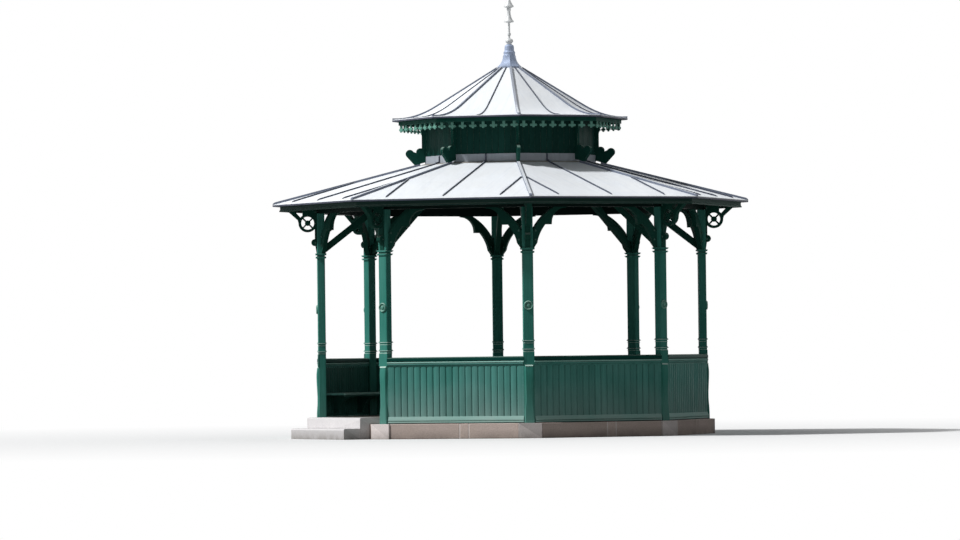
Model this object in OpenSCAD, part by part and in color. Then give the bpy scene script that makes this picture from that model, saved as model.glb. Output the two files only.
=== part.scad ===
// Octagonal bandstand: eight chamfered timber posts on a low stone plinth, with
// a boarded dado and a bench on seven sides and an open entrance on the eighth.
// Cusped braces, ringed eave brackets and raking struts carry a shallow sheet
// roof, and a boarded lantern with a fretted valance stands on top of it.
// Millimetres. The origin is at ground level on the axis, Z is up and the
// entrance side faces -Y. Corner k lies at 22.5 + 45 k degrees, side k at 45 k.

/* [Plan] */
// Radius of the circle through the centres of the posts
post_circle_r = 3240; // [3000:10:3600]
// Clearance between a piece and the piece that it is let in against
fit = 0.3; // [0.1:0.1:0.8]
// Open joint between two lengths of one ring, at each corner
joint_gap = 0.6; // [0.2:0.1:0.9]

/* [Plinth] */
// Height of the plinth above the ground
plinth_h = 250; // [150:10:400]
// Thickness of the plinth wall
plinth_wall_t = 400; // [300:10:500]
// Distance that the plinth wall stands proud of the dado sill
plinth_ledge_w = 120; // [0:1:160]
// Width of the corner piers
pier_w = 390; // [300:10:460]
// Distance that a pier stands proud of its post
pier_margin_w = 105; // [35:1:130]
// Depth of a pier, from its outer face inwards
pier_d = 315; // [260:5:400]

/* [Floor] */
// Height of the floor joists
joist_h = 70; // [50:5:120]
// Width of the floor joists
joist_w = 60; // [40:5:100]
// Number of floor joists
joist_count = 11; // [5:2:15]
// Thickness of the floor boards
deck_t = 35; // [20:1:60]

/* [Entrance] */
// Gap between the stone landing and the piers beside it
landing_gap = 85; // [5:1:120]
// Distance that the landing runs out from the plinth wall
landing_d = 178; // [60:10:500]
// Going of the lower step
step_d = 300; // [240:10:400]
// Radius of the rounded nosings
nosing_r = 28; // [10:1:45]

/* [Posts] */
// Width of a post, along the circle
post_w = 176; // [140:4:200]
// Depth of a post, across the circle
post_d = 128; // [100:4:180]
// Chamfer on the four arrises of a post
post_chamfer = 10; // [5:1:35]
// Height of a post, from the plinth to the beam
post_h = 3550; // [3300:10:3800]
// Top of the neck moulding, above the plinth
neck_h = 2875; // [2700:5:2950]
// Height of each of the two bands of the neck moulding
neck_band_h = 30; // [15:1:40]
// Space between the two bands
neck_band_gap = 24; // [10:1:40]
// Distance that these two bands stand proud of the post
neck_lip_w = 26; // [10:1:36]
// Height of the lower of the two waist bands, above the plinth
waist_low_h = 1204; // [1180:2:1240]
// Height of the upper waist band, above the plinth
waist_high_h = 1340; // [1300:2:1400]
// Height of a waist band
waist_band_h = 26; // [15:1:40]
// Distance that a waist band stands proud of the post
waist_lip_w = 10; // [5:1:20]

/* [Rosettes] */
// Height of the centre of a rosette, above the plinth
rosette_h = 1927; // [1700:1:2400]
// Outer diameter of a rosette
rosette_d = 156; // [100:2:170]
// Depth of a rosette in front of the post
rosette_t = 24; // [14:1:40]

/* [Consoles] */
// Width of the shaped console on the foot of each post
console_w = 140; // [90:2:150]
// Height of the console
console_h = 985; // [800:5:1020]
// Thickness of the console at its pinched waist
console_min_t = 8; // [5:1:14]
// Further thickness at its belly
console_belly_t = 30; // [10:1:32]
// Height of the sloping ledge on top of the console
console_ledge_h = 32; // [20:1:60]

/* [Dado] */
// Height of the top of the handrail, above the plinth
dado_h = 1098; // [1050:2:1150]
// Thickness of the sill
sill_t = 80; // [60:2:100]
// Height of the sill
sill_h = 50; // [30:1:80]
// Thickness of the rails and stiles
rail_t = 70; // [44:2:80]
// Height of the bottom rail
rail_low_h = 78; // [50:1:120]
// Height of the top rail
rail_top_h = 90; // [60:1:140]
// Thickness of the boarding
board_t = 24; // [16:1:32]
// Distance that the dado stands out from the middle of the posts
dado_out_w = 50; // [0:1:55]
// Width of a stile beside a post
stile_w = 24; // [16:1:90]
// Width of the handrail
handrail_w = 116; // [90:2:140]
// Height of the handrail
handrail_h = 71; // [50:1:90]
// Distance that the bead under the handrail stands proud of the rail
bead_w = 20; // [8:1:26]
// Height of the bead
bead_h = 26; // [14:1:34]

/* [Bench] */
// Height of the seat above the floor
seat_h = 405; // [350:5:480]
// Depth of the seat
seat_d = 400; // [300:10:480]
// Thickness of the seat
seat_t = 36; // [24:1:60]
// Height of the front edge of the seat
seat_lip_h = 62; // [40:1:90]
// Thickness of the front edge of the seat
seat_lip_t = 30; // [20:1:50]
// Height of a seat bracket
seat_bracket_h = 300; // [200:5:330]
// Thickness of a seat bracket
seat_bracket_t = 45; // [30:1:80]
// Distance of the seat brackets from the middle of a side
seat_bracket_offset_w = 620; // [300:10:700]

/* [Braces] */
// Thickness of the cusped side braces
brace_t = 78; // [60:2:110]
// Reach of a side brace along the beam
brace_w = 610; // [450:10:750]
// Depth of the notch from the cusp to the upper sweep of a side brace
cusp_w = 118; // [60:2:150]
// Width of the raking roof struts
strut_t = 84; // [60:2:110]
// Depth of a strut, measured upright
strut_d = 140; // [90:5:180]
// Distance of the strut heads outside the corners of the lantern
strut_head_w = 26; // [10:2:80]

/* [Eave brackets] */
// Thickness of the eave brackets
bracket_t = 84; // [50:2:100]
// Outer diameter of the ring
ring_d = 310; // [260:2:330]
// Width of the band of the ring
ring_band_w = 45; // [25:1:60]
// Diameter of the boss in the ring
boss_d = 92; // [60:2:110]
// Width of the four spokes
spoke_w = 24; // [14:1:40]
// Distance of the ring's centre below the beam
ring_drop_h = 160; // [140:2:200]
// Radius of the scroll under the ring
scroll_r = 60; // [40:1:70]

/* [Roof frame] */
// Height of the eave beams
beam_h = 200; // [150:5:260]
// Thickness of the eave beams
beam_t = 110; // [80:5:140]
// Depth of all the rafters, measured upright
rafter_d = 130; // [100:5:170]
// Width of the hip rafters
rafter_w = 100; // [60:5:140]
// Width of the common rafters
common_w = 60; // [40:5:90]
// Distance of the outer common rafters from the middle of a side
common_offset_w = 620; // [450:10:750]

/* [Lower roof] */
// Distance from the post centres out to the eave, along a hip
eave_w = 806; // [500:5:850]
// Pitch of the lower roof in degrees
roof_pitch = 15.4; // [13:0.1:18]
// Thickness of the boarding and the sheet together
roof_t = 30; // [20:1:45]
// Width of a standing seam
seam_w = 22; // [12:1:40]
// Height of a standing seam and of the roll along a hip
seam_h = 34; // [18:1:50]
// Distance of the side seams from the middle of a side
seam_offset_w = 985; // [700:5:1150]
// Width of the roll along a hip
hip_roll_w = 44; // [30:1:70]
// Height of the fascia below the sheet
fascia_h = 123; // [80:1:150]
// Thickness of the fascia
fascia_t = 28; // [18:1:40]
// Distance that the sheet oversails the fascia
drip_w = 114; // [10:1:140]
// Height of the moulding along the foot of the fascia
fascia_bead_h = 34; // [15:1:50]
// Distance that this moulding stands proud
fascia_bead_w = 13; // [5:1:22]

/* [Lantern] */
// Radius of the lantern to its corners
lantern_r = 1440; // [1300:10:1600]
// Thickness of the lantern boarding
lantern_wall_t = 37; // [24:1:60]
// Height of the lantern, from the roof to the upper eave
lantern_h = 756; // [680:2:900]
// Thickness of the curb under the lantern
curb_t = 100; // [60:5:140]
// Height of the curb above the roof
curb_h = 180; // [120:5:260]
// Distance that the curb hangs below the rafters
curb_tail_h = 60; // [20:5:100]
// Height of the metal upstand round the foot of the lantern
flashing_h = 128; // [80:2:170]
// Thickness of the metal upstand
flashing_t = 12; // [8:1:20]
// Width of the apron that lies on the roof
apron_w = 90; // [50:5:150]

/* [Lantern brackets] */
// Thickness of the scrolled boards
scroll_t = 52; // [36:2:80]
// Reach of the double scroll at the foot
scroll_w = 342; // [240:2:400]
// Height of the double scroll
scroll_h = 238; // [200:2:320]
// Width of the plain neck above it
scroll_neck_w = 66; // [30:1:80]
// Radius of the hollow sweep out to the upper eave
scroll_sweep_r = 250; // [150:5:320]

/* [Valance] */
// Height of the plain strip of the valance
valance_h = 67; // [50:1:120]
// Thickness of the valance
valance_t = 22; // [14:1:30]
// Distance of the valance from the upper eave
valance_in_w = 95; // [40:5:160]
// Number of pendants on each side
pendants = 8; // [5:1:9]
// Drop of the pendants below the strip
pendant_h = 116; // [90:1:140]

/* [Upper roof] */
// Distance from the lantern corners out to the upper eave
upper_eave_w = 560; // [450:5:620]
// Pitch of the straight upper part in degrees
upper_pitch = 33.8; // [30:0.1:38]
// Pitch at the eave, after the bell cast, in degrees; below 0 the eave turns up
cast_pitch = -3; // [-6:0.1:12]
// Part of the slope that the bell cast takes, from the eave
cast_part = 0.37; // [0.25:0.01:0.55]
// Thickness of the upper roof
upper_t = 30; // [20:1:45]

/* [Finial] */
// Radius of the finial's collar at the roof
collar_r = 190; // [150:5:240]
// Height of the collar
collar_h = 123; // [100:1:200]
// Radius of the metal bell at its foot
bell_r = 101; // [80:1:120]
// Height of the metal bell
bell_h = 198; // [150:2:240]
// Height of the turned spire above the bell
spire_h = 960; // [700:5:1050]

/* [Hidden] */

$fn = 48;
SIDES = 8;
turn = 360 / SIDES;
half_turn = turn / 2;
corners = [0 : SIDES - 1];
ENTRANCE = 6;
closed_sides = [7, 0, 1, 2, 3, 4, 5];
arc_steps = 8;
// Thickness left at the tip of a side brace
nib_h = 16;

// Plan
side_a = post_circle_r * cos(half_turn);
post_out_r = post_circle_r + post_d / 2;
post_in_r = post_circle_r - post_d / 2;
post_half_on_side = post_w / 2 / cos(half_turn);
side_half = post_circle_r * sin(half_turn);
clear_half = side_half - post_half_on_side;
dado_a = side_a + dado_out_w;
dado_half = clear_half + dado_out_w * tan(half_turn);

// Levels
plinth_top = plinth_h;
floor_top = plinth_top + joist_h + deck_t;
beam_bottom = plinth_top + post_h;
beam_top = beam_bottom + beam_h;
neck_top = plinth_top + neck_h;

// Plinth and floor
wall_out = dado_a + sill_t / 2 + plinth_ledge_w;
wall_in = wall_out - plinth_wall_t;
pier_out = post_out_r + pier_margin_w;
deck_a = dado_a - sill_t / 2 - fit;
joist_edge_w = 50;
joist_a = post_in_r * cos(half_turn) - joist_edge_w / 2;
landing_w = 2 * (wall_out * tan(half_turn) - pier_w / 2 / cos(half_turn) - landing_gap);
landing_out = wall_out + landing_d;

// Lower roof, as heights over the distance from the axis
roof_slope = tan(roof_pitch);
hip_slope = roof_slope * cos(half_turn);
eave_r = post_circle_r + eave_w;
eave_a = eave_r * cos(half_turn);
eave_z = beam_top + rafter_d + roof_t - eave_w * hip_slope;
fascia_out = eave_a - drip_w;
fascia_in = fascia_out - fascia_t;
fascia_head = roof_z(fascia_out) - roof_t;
fascia_foot = fascia_head - fascia_h;

// Lantern
lantern_a = lantern_r * cos(half_turn);
lantern_in = lantern_a - lantern_wall_t;
hip_foot_r = (lantern_a + apron_w + fit) / cos(half_turn);
curb_in = lantern_in - curb_t;
lantern_foot = roof_z(lantern_a);
curb_bottom = roof_z(lantern_in) - roof_t - rafter_d - curb_tail_h;
curb_top = lantern_foot + curb_h;

// Upper roof
upper_r = lantern_r + upper_eave_w;
upper_a = upper_r * cos(half_turn);
upper_eave_z = lantern_foot + lantern_h;
cast_a = upper_a * (1 - cast_part);
cast_len = upper_a - cast_a;
s_top = tan(upper_pitch);
s_eave = tan(cast_pitch);
apex_hole_r = 60;

// Far enough to pass right through the whole object
reach = 2 * eave_r;

function roof_z(a) = eave_z + (eave_a - a) * roof_slope;
function hip_z(r) = eave_z + (eave_r - r) * hip_slope;
function rafter_under(r) = hip_z(r) - roof_t - rafter_d;

// Height of the upper roof: straight down to cast_a, then curving out
function upper_z(a) =
    upper_eave_z + (a > cast_a ? cast_z(a) : cast_z(cast_a) + (cast_a - a) * s_top);
function cast_z(a) =
    s_eave * (upper_a - a) + (s_top - s_eave) / (2 * cast_len) * pow(upper_a - a, 2);

// Points along an arc round c, from angle a0 to a1
function arc(c, r, a0, a1, n = arc_steps) =
    [for (i = [0 : n]) c + r * [cos(a0 + (a1 - a0) * i / n), sin(a0 + (a1 - a0) * i / n)]];

function reversed(v) = [for (i = [len(v) - 1 : -1 : 0]) v[i]];

// Frames: X points outward, Y along the side or the circle
module at_corner(k) rotate([0, 0, half_turn + turn * k]) children();
module at_side(k) rotate([0, 0, turn * k]) children();

// A profile drawn as distance from the axis over height, run along Y
module run(length) rotate([90, 0, 0]) linear_extrude(height = length, center = true) children();

// A face drawn as place along the side over height, run outward from x
module panel_at(x, t) translate([x, 0, 0]) rotate([90, 0, 90]) linear_extrude(height = t) children();

// The eighth part of the plan that belongs to one side
module wedge(gap = joint_gap) {
    tip = gap / 2 / sin(half_turn);
    far = (reach - tip) * tan(half_turn);
    translate([0, 0, -reach]) linear_extrude(height = 2 * reach)
        polygon([[tip, 0], [reach, -far], [reach, far]]);
}

// One mitred length of a ring of eight, from its profile
module ring_length(k, gap = joint_gap) at_side(k) intersection() {
    run(reach) children();
    wedge(gap);
}

module flipped(end) if (end < 0) mirror([0, 1, 0]) children(); else children();

module octagon(a, h) rotate([0, 0, half_turn]) cylinder(r = a / cos(half_turn), h = h, $fn = SIDES);

module chamfered(d, w, c) polygon([
    [-d / 2 + c, -w / 2], [d / 2 - c, -w / 2], [d / 2, -w / 2 + c], [d / 2, w / 2 - c],
    [d / 2 - c, w / 2], [-d / 2 + c, w / 2], [-d / 2, w / 2 - c], [-d / 2, -w / 2 + c]]);

// The space that a post takes, seen from the frame of a side that it ends
module post_space(end, grow = fit) rotate([0, 0, end * half_turn])
    translate([post_circle_r, 0, 0]) linear_extrude(height = reach)
        chamfered(post_d + 2 * grow, post_w + 2 * grow, post_chamfer);

module between_posts() difference() {
    children();
    post_space(-1);
    post_space(1);
}

// Plinth

module pier_space(grow = 0) translate([pier_out - pier_d - grow, -pier_w / 2 - grow, -grow])
    cube([pier_d + 2 * grow, pier_w + 2 * grow, plinth_h + 2 * grow]);

module plinth_piers() color("tan") for (k = corners) at_corner(k) pier_space();

module plinth_wall() color("wheat") for (k = corners) difference() {
    ring_length(k) translate([wall_in, 0]) square([plinth_wall_t, plinth_h]);
    at_corner(k) pier_space(fit);
    at_corner(k - 1) pier_space(fit);
}

// Floor

module floor_joists() color("saddlebrown") {
    half_field = joist_a - joist_w;
    step = 2 * half_field / (joist_count - 1);
    translate([0, 0, plinth_top]) intersection() {
        octagon(joist_a, joist_h);
        for (i = [0 : joist_count - 1])
            translate([-reach, -half_field + i * step - joist_w / 2, 0])
                cube([2 * reach, joist_w, joist_h]);
    }
}

module floor_deck() color("gray") difference() {
    translate([0, 0, plinth_top + joist_h]) octagon(deck_a, deck_t);
    for (k = corners) at_side(k) post_space(1);
}

// Entrance

module nosed(x0, x1, z0, z1) polygon(concat(
    [[x0, z0], [x1, z0]], arc([x1 - nosing_r, z1 - nosing_r], nosing_r, 0, 90), [[x0, z1]]));

module entrance_landing() color("lightgray") at_side(ENTRANCE) run(landing_w) union() {
    nosed(wall_out + fit, landing_out, 0, floor_top);
    translate([deck_a + fit, plinth_top])
        square([wall_out + landing_d / 2 - deck_a, floor_top - plinth_top]);
}

module entrance_step() color("lightgray") at_side(ENTRANCE) run(landing_w)
    nosed(landing_out + fit, landing_out + step_d, 0, floor_top / 2);

// Posts

module post_band(z, h, lip) translate([0, 0, z]) linear_extrude(height = h)
    chamfered(post_d + 2 * lip, post_w + 2 * lip, post_chamfer + lip / 2);

module post(k) color("seagreen") at_corner(k) translate([post_circle_r, 0, 0]) {
    translate([0, 0, plinth_top]) linear_extrude(height = post_h)
        chamfered(post_d, post_w, post_chamfer);
    post_band(neck_top - neck_band_h, neck_band_h, neck_lip_w);
    post_band(neck_top - 2 * neck_band_h - neck_band_gap, neck_band_h, 0.8 * neck_lip_w);
    post_band(plinth_top + waist_low_h, waist_band_h, waist_lip_w);
    post_band(plinth_top + waist_high_h, waist_band_h, waist_lip_w);
}

// A turned rosette: a rim, a hollow, a ring and a centre button
module rosette() {
    r = rosette_d / 2;
    t = rosette_t;
    rim = 0.16 * r;
    hollow = 0.3 * r;
    rotate([0, 90, 0]) rotate_extrude() polygon(concat(
        [[0, 0], [r, 0]],
        arc([r - rim, 0.55 * t], rim, 0, 180, 6),
        arc([r - 2 * rim - hollow / 2, 0.55 * t], hollow / 2, 0, -180, 6),
        [[r - 2 * rim - hollow - 0.14 * r, 0.75 * t]],
        arc([0, 0.6 * t], 0.2 * r, 0, 90, 4)));
}

module post_rosettes() color("mediumseagreen") for (k = corners)
    at_corner(k) translate([post_out_r, 0, plinth_top + rosette_h]) rosette();

// A console: ledge, belly, pinched waist and flared foot
function console_t(f) = console_min_t
    + (f > 0.49 ? console_belly_t * pow(sin(180 * (f - 0.49) / 0.51), 0.8)
                : console_belly_t * 0.8 * pow((0.49 - f) / 0.49, 2));

module console_profile() {
    steps = 20;
    shaft = console_h - console_ledge_h;
    ledge_t = console_min_t + console_belly_t;
    translate([post_out_r, plinth_top]) polygon(concat(
        [[0, 0]],
        [for (i = [0 : steps]) [console_t(i / steps), shaft * i / steps]],
        [[ledge_t, shaft], [ledge_t, shaft + console_ledge_h / 3], [0, console_h]]));
}

module post_consoles() color("darkseagreen") for (k = corners)
    at_corner(k) run(console_w) console_profile();

// Dado

// Section of the sill, bottom rail, boarding and top rail
module dado_section() {
    half = rail_t / 2;
    skin = board_t / 2;
    top = dado_h - handrail_h;
    low = sill_h + rail_low_h;
    weather = 0.6 * half;
    bead_mid = top - bead_h;
    translate([dado_a, plinth_top]) polygon([
        [-sill_t / 2, 0], [sill_t / 2, 0], [sill_t / 2, sill_h], [half, sill_h],
        [half, low - weather], [skin, low], [skin, top - rail_top_h], [half, top - rail_top_h],
        [half, bead_mid - bead_w / 2], [half + bead_w, bead_mid],
        [half + bead_w, top - bead_w / 4], [half, top],
        [-half, top], [-half, top - rail_top_h], [-skin, top - rail_top_h], [-skin, low],
        [-half, low], [-half, sill_h], [-sill_t / 2, sill_h]]);
}

// The bay between the side faces of two posts
module bay() intersection() {
    children();
    wedge(post_w + 2 * fit);
}

module dado(k) color("cadetblue") at_side(k) bay() {
    run(reach) dado_section();
    for (end = [-1, 1]) translate([dado_a - rail_t / 2, end * dado_half - stile_w,
            plinth_top + sill_h])
        cube([rail_t, 2 * stile_w, dado_h - handrail_h - sill_h]);
}

module handrail_section() {
    half = handrail_w / 2;
    ease = handrail_h / 4;
    crown = handrail_h / 12;
    z0 = plinth_top + dado_h - handrail_h;
    z1 = plinth_top + dado_h;
    polygon(concat(
        [[dado_a - half + ease / 2, z0], [dado_a + half - ease / 2, z0], [dado_a + half, z0 + ease / 2]],
        arc([dado_a + half - ease, z1 - ease - crown], ease, 0, 80, 4),
        [[dado_a, z1]],
        arc([dado_a - half + ease, z1 - ease - crown], ease, 100, 180, 4),
        [[dado_a - half, z0 + ease / 2]]));
}

module handrails() color("cadetblue") for (k = closed_sides) at_side(k)
    bay() run(reach) handrail_section();

// Bench

bench_back = dado_a - board_t / 2 - fit;
bench_front = bench_back - seat_d;
seat_top = floor_top + seat_h;
seat_under = seat_top - seat_t;

module bench_seats() color("cadetblue") for (k = closed_sides) at_side(k) between_posts() difference() {
    intersection() {
        run(reach) union() {
            translate([bench_front, seat_under]) square([seat_d, seat_t]);
            translate([bench_front, seat_top - seat_lip_h]) square([seat_lip_t, seat_lip_h]);
        }
        wedge();
    }
    for (end = [-1, 1])
        translate([dado_a - rail_t / 2 - fit, end * dado_half - stile_w - fit, seat_under - reach])
            cube([rail_t, 2 * (stile_w + fit), 2 * reach]);
}

module seat_bracket_profile() {
    x0 = bench_front + seat_lip_t + fit;
    translate([x0, seat_under - seat_bracket_h]) difference() {
        square([bench_back - x0, seat_bracket_h]);
        circle(r = seat_bracket_h - seat_bracket_t);
    }
}

module bench_brackets() color("cadetblue") for (k = closed_sides, end = [-1, 1])
    at_side(k) translate([0, end * seat_bracket_offset_w, 0]) run(seat_bracket_t) seat_bracket_profile();

// Beams and braces

module eave_beams() color("darkgreen") for (k = corners)
    ring_length(k) translate([side_a - beam_t / 2, beam_bottom]) square([beam_t, beam_h]);

// A side brace in the frame of its side: u runs from the post along the beam,
// v up from the neck. The underside has a long and a short sweep with a cusp
// between them, and the upper edge leaves an open spandrel against the post.
module brace_profile() {
    rise = beam_bottom - neck_top;
    reach_u = brace_w;
    bury = post_half_on_side;
    cusp_u = 0.37 * reach_u;
    cusp_v = 0.57 * rise;
    lip_u = cusp_u + cusp_w;
    top_r = min(reach_u - lip_u, rise - cusp_v) - nib_h;
    open_v = 0.43 * rise;
    knee = [0.145 * reach_u, 0.22 * rise];
    polygon(concat(
        [[-bury, 0], [0.02 * reach_u, 0], [0.06 * reach_u, 0.05 * rise], [0.115 * reach_u, 0.115 * rise], knee],
        sagged(knee, [cusp_u, cusp_v], -0.05),
        [[lip_u, cusp_v]],
        arc([lip_u + top_r, rise - nib_h - top_r], top_r, 180, 90, 6),
        [[reach_u, rise - nib_h], [reach_u, rise]],
        reversed(sagged([0, open_v], [0.64 * reach_u, rise], -0.07)),
        [[0, open_v], [-bury, open_v]]));
}

// Points from p to q along a shallow arc that sags to the right by share of the chord
function sagged(p, q, share, n = arc_steps) = let (d = q - p, side = [d[1], -d[0]])
    [for (i = [1 : n]) p + d * i / n + side * share * 4 * (i / n) * (1 - i / n)];

module side_braces() color("seagreen") for (k = corners, end = [-1, 1]) at_side(k) difference() {
    flipped(end) panel_at(side_a - brace_t / 2, brace_t)
        translate([clear_half, neck_top]) mirror([1, 0]) brace_profile();
    post_space(end);
}

module roof_struts() color("seagreen") for (k = corners) at_corner(k) run(strut_t) {
    foot_r = post_in_r - fit;
    head_r = lantern_r + strut_head_w;
    s = (rafter_under(head_r) - fit - neck_top) / (foot_r - head_r);
    low_r = strut_end(0, s, foot_r);
    high_r = strut_end(strut_d, s, foot_r);
    polygon([
        [foot_r, neck_top], [foot_r, neck_top + strut_d],
        [high_r, rafter_under(high_r) - fit], [low_r, rafter_under(low_r) - fit]]);
}

// Radius at which a strut edge meets the underside of the hip rafter
function strut_end(up, s, foot_r) =
    (neck_top + up + s * foot_r - rafter_under(0) + fit) / (s - hip_slope);

// Eave brackets

ring_r = ring_d / 2;
ring_c = [post_out_r + fit + 0.987 * ring_r, beam_bottom - ring_drop_h];

module bracket_profile() {
    back = post_out_r + fit;
    arm_r = back + 1.62 * ring_d;
    toe_r = arm_r - 0.3 * ring_d;
    strap = 0.11 * ring_d;
    scroll_c = [back + strap, ring_c[1] - ring_r - scroll_r - 0.37 * ring_d];
    arm_in = ring_c + ring_r * [cos(38), sin(38)];
    arm_out = ring_c + ring_r * [cos(2), sin(2)];
    difference() {
        union() {
            difference() {
                translate(ring_c) circle(r = ring_r);
                translate(ring_c) circle(r = ring_r - ring_band_w);
            }
            translate(ring_c) circle(d = boss_d);
            for (a = [45 : 90 : 315]) translate(ring_c) rotate(a)
                translate([0, -spoke_w / 2]) square([ring_r - ring_band_w / 2, spoke_w]);
            polygon([
                [back, neck_top + fit], [back + 0.02 * ring_d, neck_top + fit],
                [back + strap, scroll_c[1]], [back + strap, ring_c[1]], [back, ring_c[1]]]);
            translate(scroll_c) circle(r = scroll_r);
            polygon([
                [back, ring_c[1]], [ring_c[0] - 0.4 * ring_r, ring_c[1] + 0.75 * ring_r],
                [ring_c[0] + 0.55 * ring_r, ring_c[1] + 0.78 * ring_r],
                [ring_c[0] + 0.62 * ring_r, rafter_under(ring_c[0] + 0.62 * ring_r) - fit],
                [back, rafter_under(back) - fit]]);
            polygon([
                arm_in, arm_out, arm_out + ring_d * [0.04, 0.145],
                [arm_r, rafter_under(arm_r) - fit], [toe_r, rafter_under(toe_r) - fit]]);
        }
        translate([back - reach, 0]) square([reach, reach]);
    }
}

module eave_brackets() color("seagreen") for (k = corners)
    at_corner(k) run(bracket_t) bracket_profile();

// Roof frame

module hip_rafters() color("sienna") for (k = corners) difference() {
    at_corner(k) intersection() {
        run(rafter_w) polygon([
            [curb_in, rafter_under(curb_in)], [eave_r, rafter_under(eave_r)],
            [eave_r, hip_z(eave_r)], [curb_in, hip_z(curb_in)]]);
        rotate([0, 0, half_turn]) octagon(fascia_in - fit, reach);
    }
    for (s = [k, k + 1]) at_side(s) {
        run(reach) roof_space();
        translate([side_a - beam_t / 2 - fit, -reach, beam_bottom]) cube([beam_t + 2 * fit, 2 * reach, beam_h]);
    }
    octagon(lantern_in + fit, reach);
}

// Underside of the roof boarding, less the clearance over what carries it
function seat_z(a) = roof_z(a) - roof_t - fit;

// All that lies above that on one side
module roof_space() polygon([
    [0, seat_z(0)], [eave_a + reach, seat_z(eave_a + reach)],
    [eave_a + reach, roof_z(0) + reach], [0, roof_z(0) + reach]]);

module common_rafters() color("sienna") for (k = corners) at_side(k)
    for (y = [-common_offset_w, 0, common_offset_w]) intersection() {
        translate([0, y, 0]) run(common_w) difference() {
            polygon([
                [lantern_in + fit, roof_z(lantern_in + fit) - roof_t - rafter_d],
                [fascia_in - fit, roof_z(fascia_in - fit) - roof_t - rafter_d],
                [fascia_in - fit, seat_z(fascia_in - fit)],
                [lantern_in + fit, seat_z(lantern_in + fit)]]);
            translate([side_a - beam_t / 2 - fit, beam_bottom]) square([beam_t + 2 * fit, beam_h]);
        }
        wedge(rafter_w + 2 * fit);
    }

// Lower roof

module seam_profile(a0) polygon([
    [a0, roof_z(a0) - roof_t / 2], [eave_a, roof_z(eave_a) - roof_t / 2],
    [eave_a, roof_z(eave_a) + seam_h / 2], [eave_a - seam_h, roof_z(eave_a - seam_h) + seam_h],
    [a0, roof_z(a0) + seam_h]]);

module roof_section() polygon([
    [lantern_in + fit, roof_z(lantern_in + fit) - roof_t], [eave_a, eave_z - roof_t],
    [eave_a, eave_z], [lantern_in + fit, roof_z(lantern_in + fit)]]);

module lower_roof() color("aliceblue") for (k = corners) at_side(k) union() {
    intersection() {
        run(reach) roof_section();
        wedge();
    }
    for (y = [-seam_offset_w, 0, seam_offset_w]) intersection() {
        translate([0, y, 0]) run(seam_w) seam_profile(lantern_a + apron_w + fit);
        wedge(hip_roll_w + 2 * fit);
    }
}

// The two sides of a roof that meet at corner k, cut off a hair past their hip
module both_sides(k) for (s = [k, k + 1]) at_side(s) intersection() {
    run(reach) children();
    wedge(-fit / 2);
}

module under_lower_roof(rise = fit) polygon([
    [0, -reach], [reach, -reach], [reach, roof_z(reach) + rise], [0, roof_z(0) + rise]]);

module hip_rolls() color("aliceblue") for (k = corners) difference() {
    at_corner(k) run(hip_roll_w) polygon([
        [hip_foot_r, hip_z(hip_foot_r) - roof_t], [eave_r, hip_z(eave_r) - roof_t],
        [eave_r, hip_z(eave_r) + seam_h / 2], [eave_r - seam_h, hip_z(eave_r - seam_h) + seam_h],
        [hip_foot_r, hip_z(hip_foot_r) + seam_h]]);
    both_sides(k) under_lower_roof(0);
}

module fascia() color("darkgreen") for (k = corners) ring_length(k) polygon([
    [fascia_in, fascia_foot], [fascia_out + fascia_bead_w, fascia_foot],
    [fascia_out + fascia_bead_w, fascia_foot + 0.6 * fascia_bead_h],
    [fascia_out, fascia_foot + fascia_bead_h],
    [fascia_out, fascia_head - fascia_bead_h / 2],
    [fascia_out + fascia_bead_w / 2, fascia_head - fascia_bead_h / 3],
    [fascia_out + fascia_bead_w / 2, seat_z(fascia_out + fascia_bead_w / 2)],
    [fascia_in, seat_z(fascia_in)]]);

// Lantern

module lantern_curb() color("sienna") for (k = corners)
    ring_length(k) translate([curb_in, curb_bottom]) square([curb_t, curb_top - curb_bottom]);

module lantern_walls() color("darkslategray") for (k = corners) ring_length(k) difference() {
    translate([lantern_in + fit, curb_bottom])
        square([lantern_wall_t - fit, upper_eave_z + reach - curb_bottom]);
    under_lower_roof();
    over_upper_roof();
}

module lantern_flashing() color("lightsteelblue") for (k = corners) at_side(k) {
    back = lantern_a + fit;
    front = back + flashing_t;
    toe = lantern_a + apron_w;
    head = lantern_foot + flashing_h;
    skin = flashing_t / 2;
    intersection() {
        run(reach) polygon([
            [back, roof_z(back) + fit], [toe, roof_z(toe) + fit], [toe, roof_z(toe) + skin],
            [front, roof_z(front) + skin], [front, head], [back, head]]);
        wedge();
    }
    run(seam_w) polygon([
        [back + skin, roof_z(back + skin) + fit], [toe, roof_z(toe) + fit], [toe, roof_z(toe) + seam_h],
        [front + seam_h / 2, roof_z(front + seam_h / 2) + seam_h],
        [front + seam_h / 2, head - seam_h / 2], [back + skin, head - fit]]);
}

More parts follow.
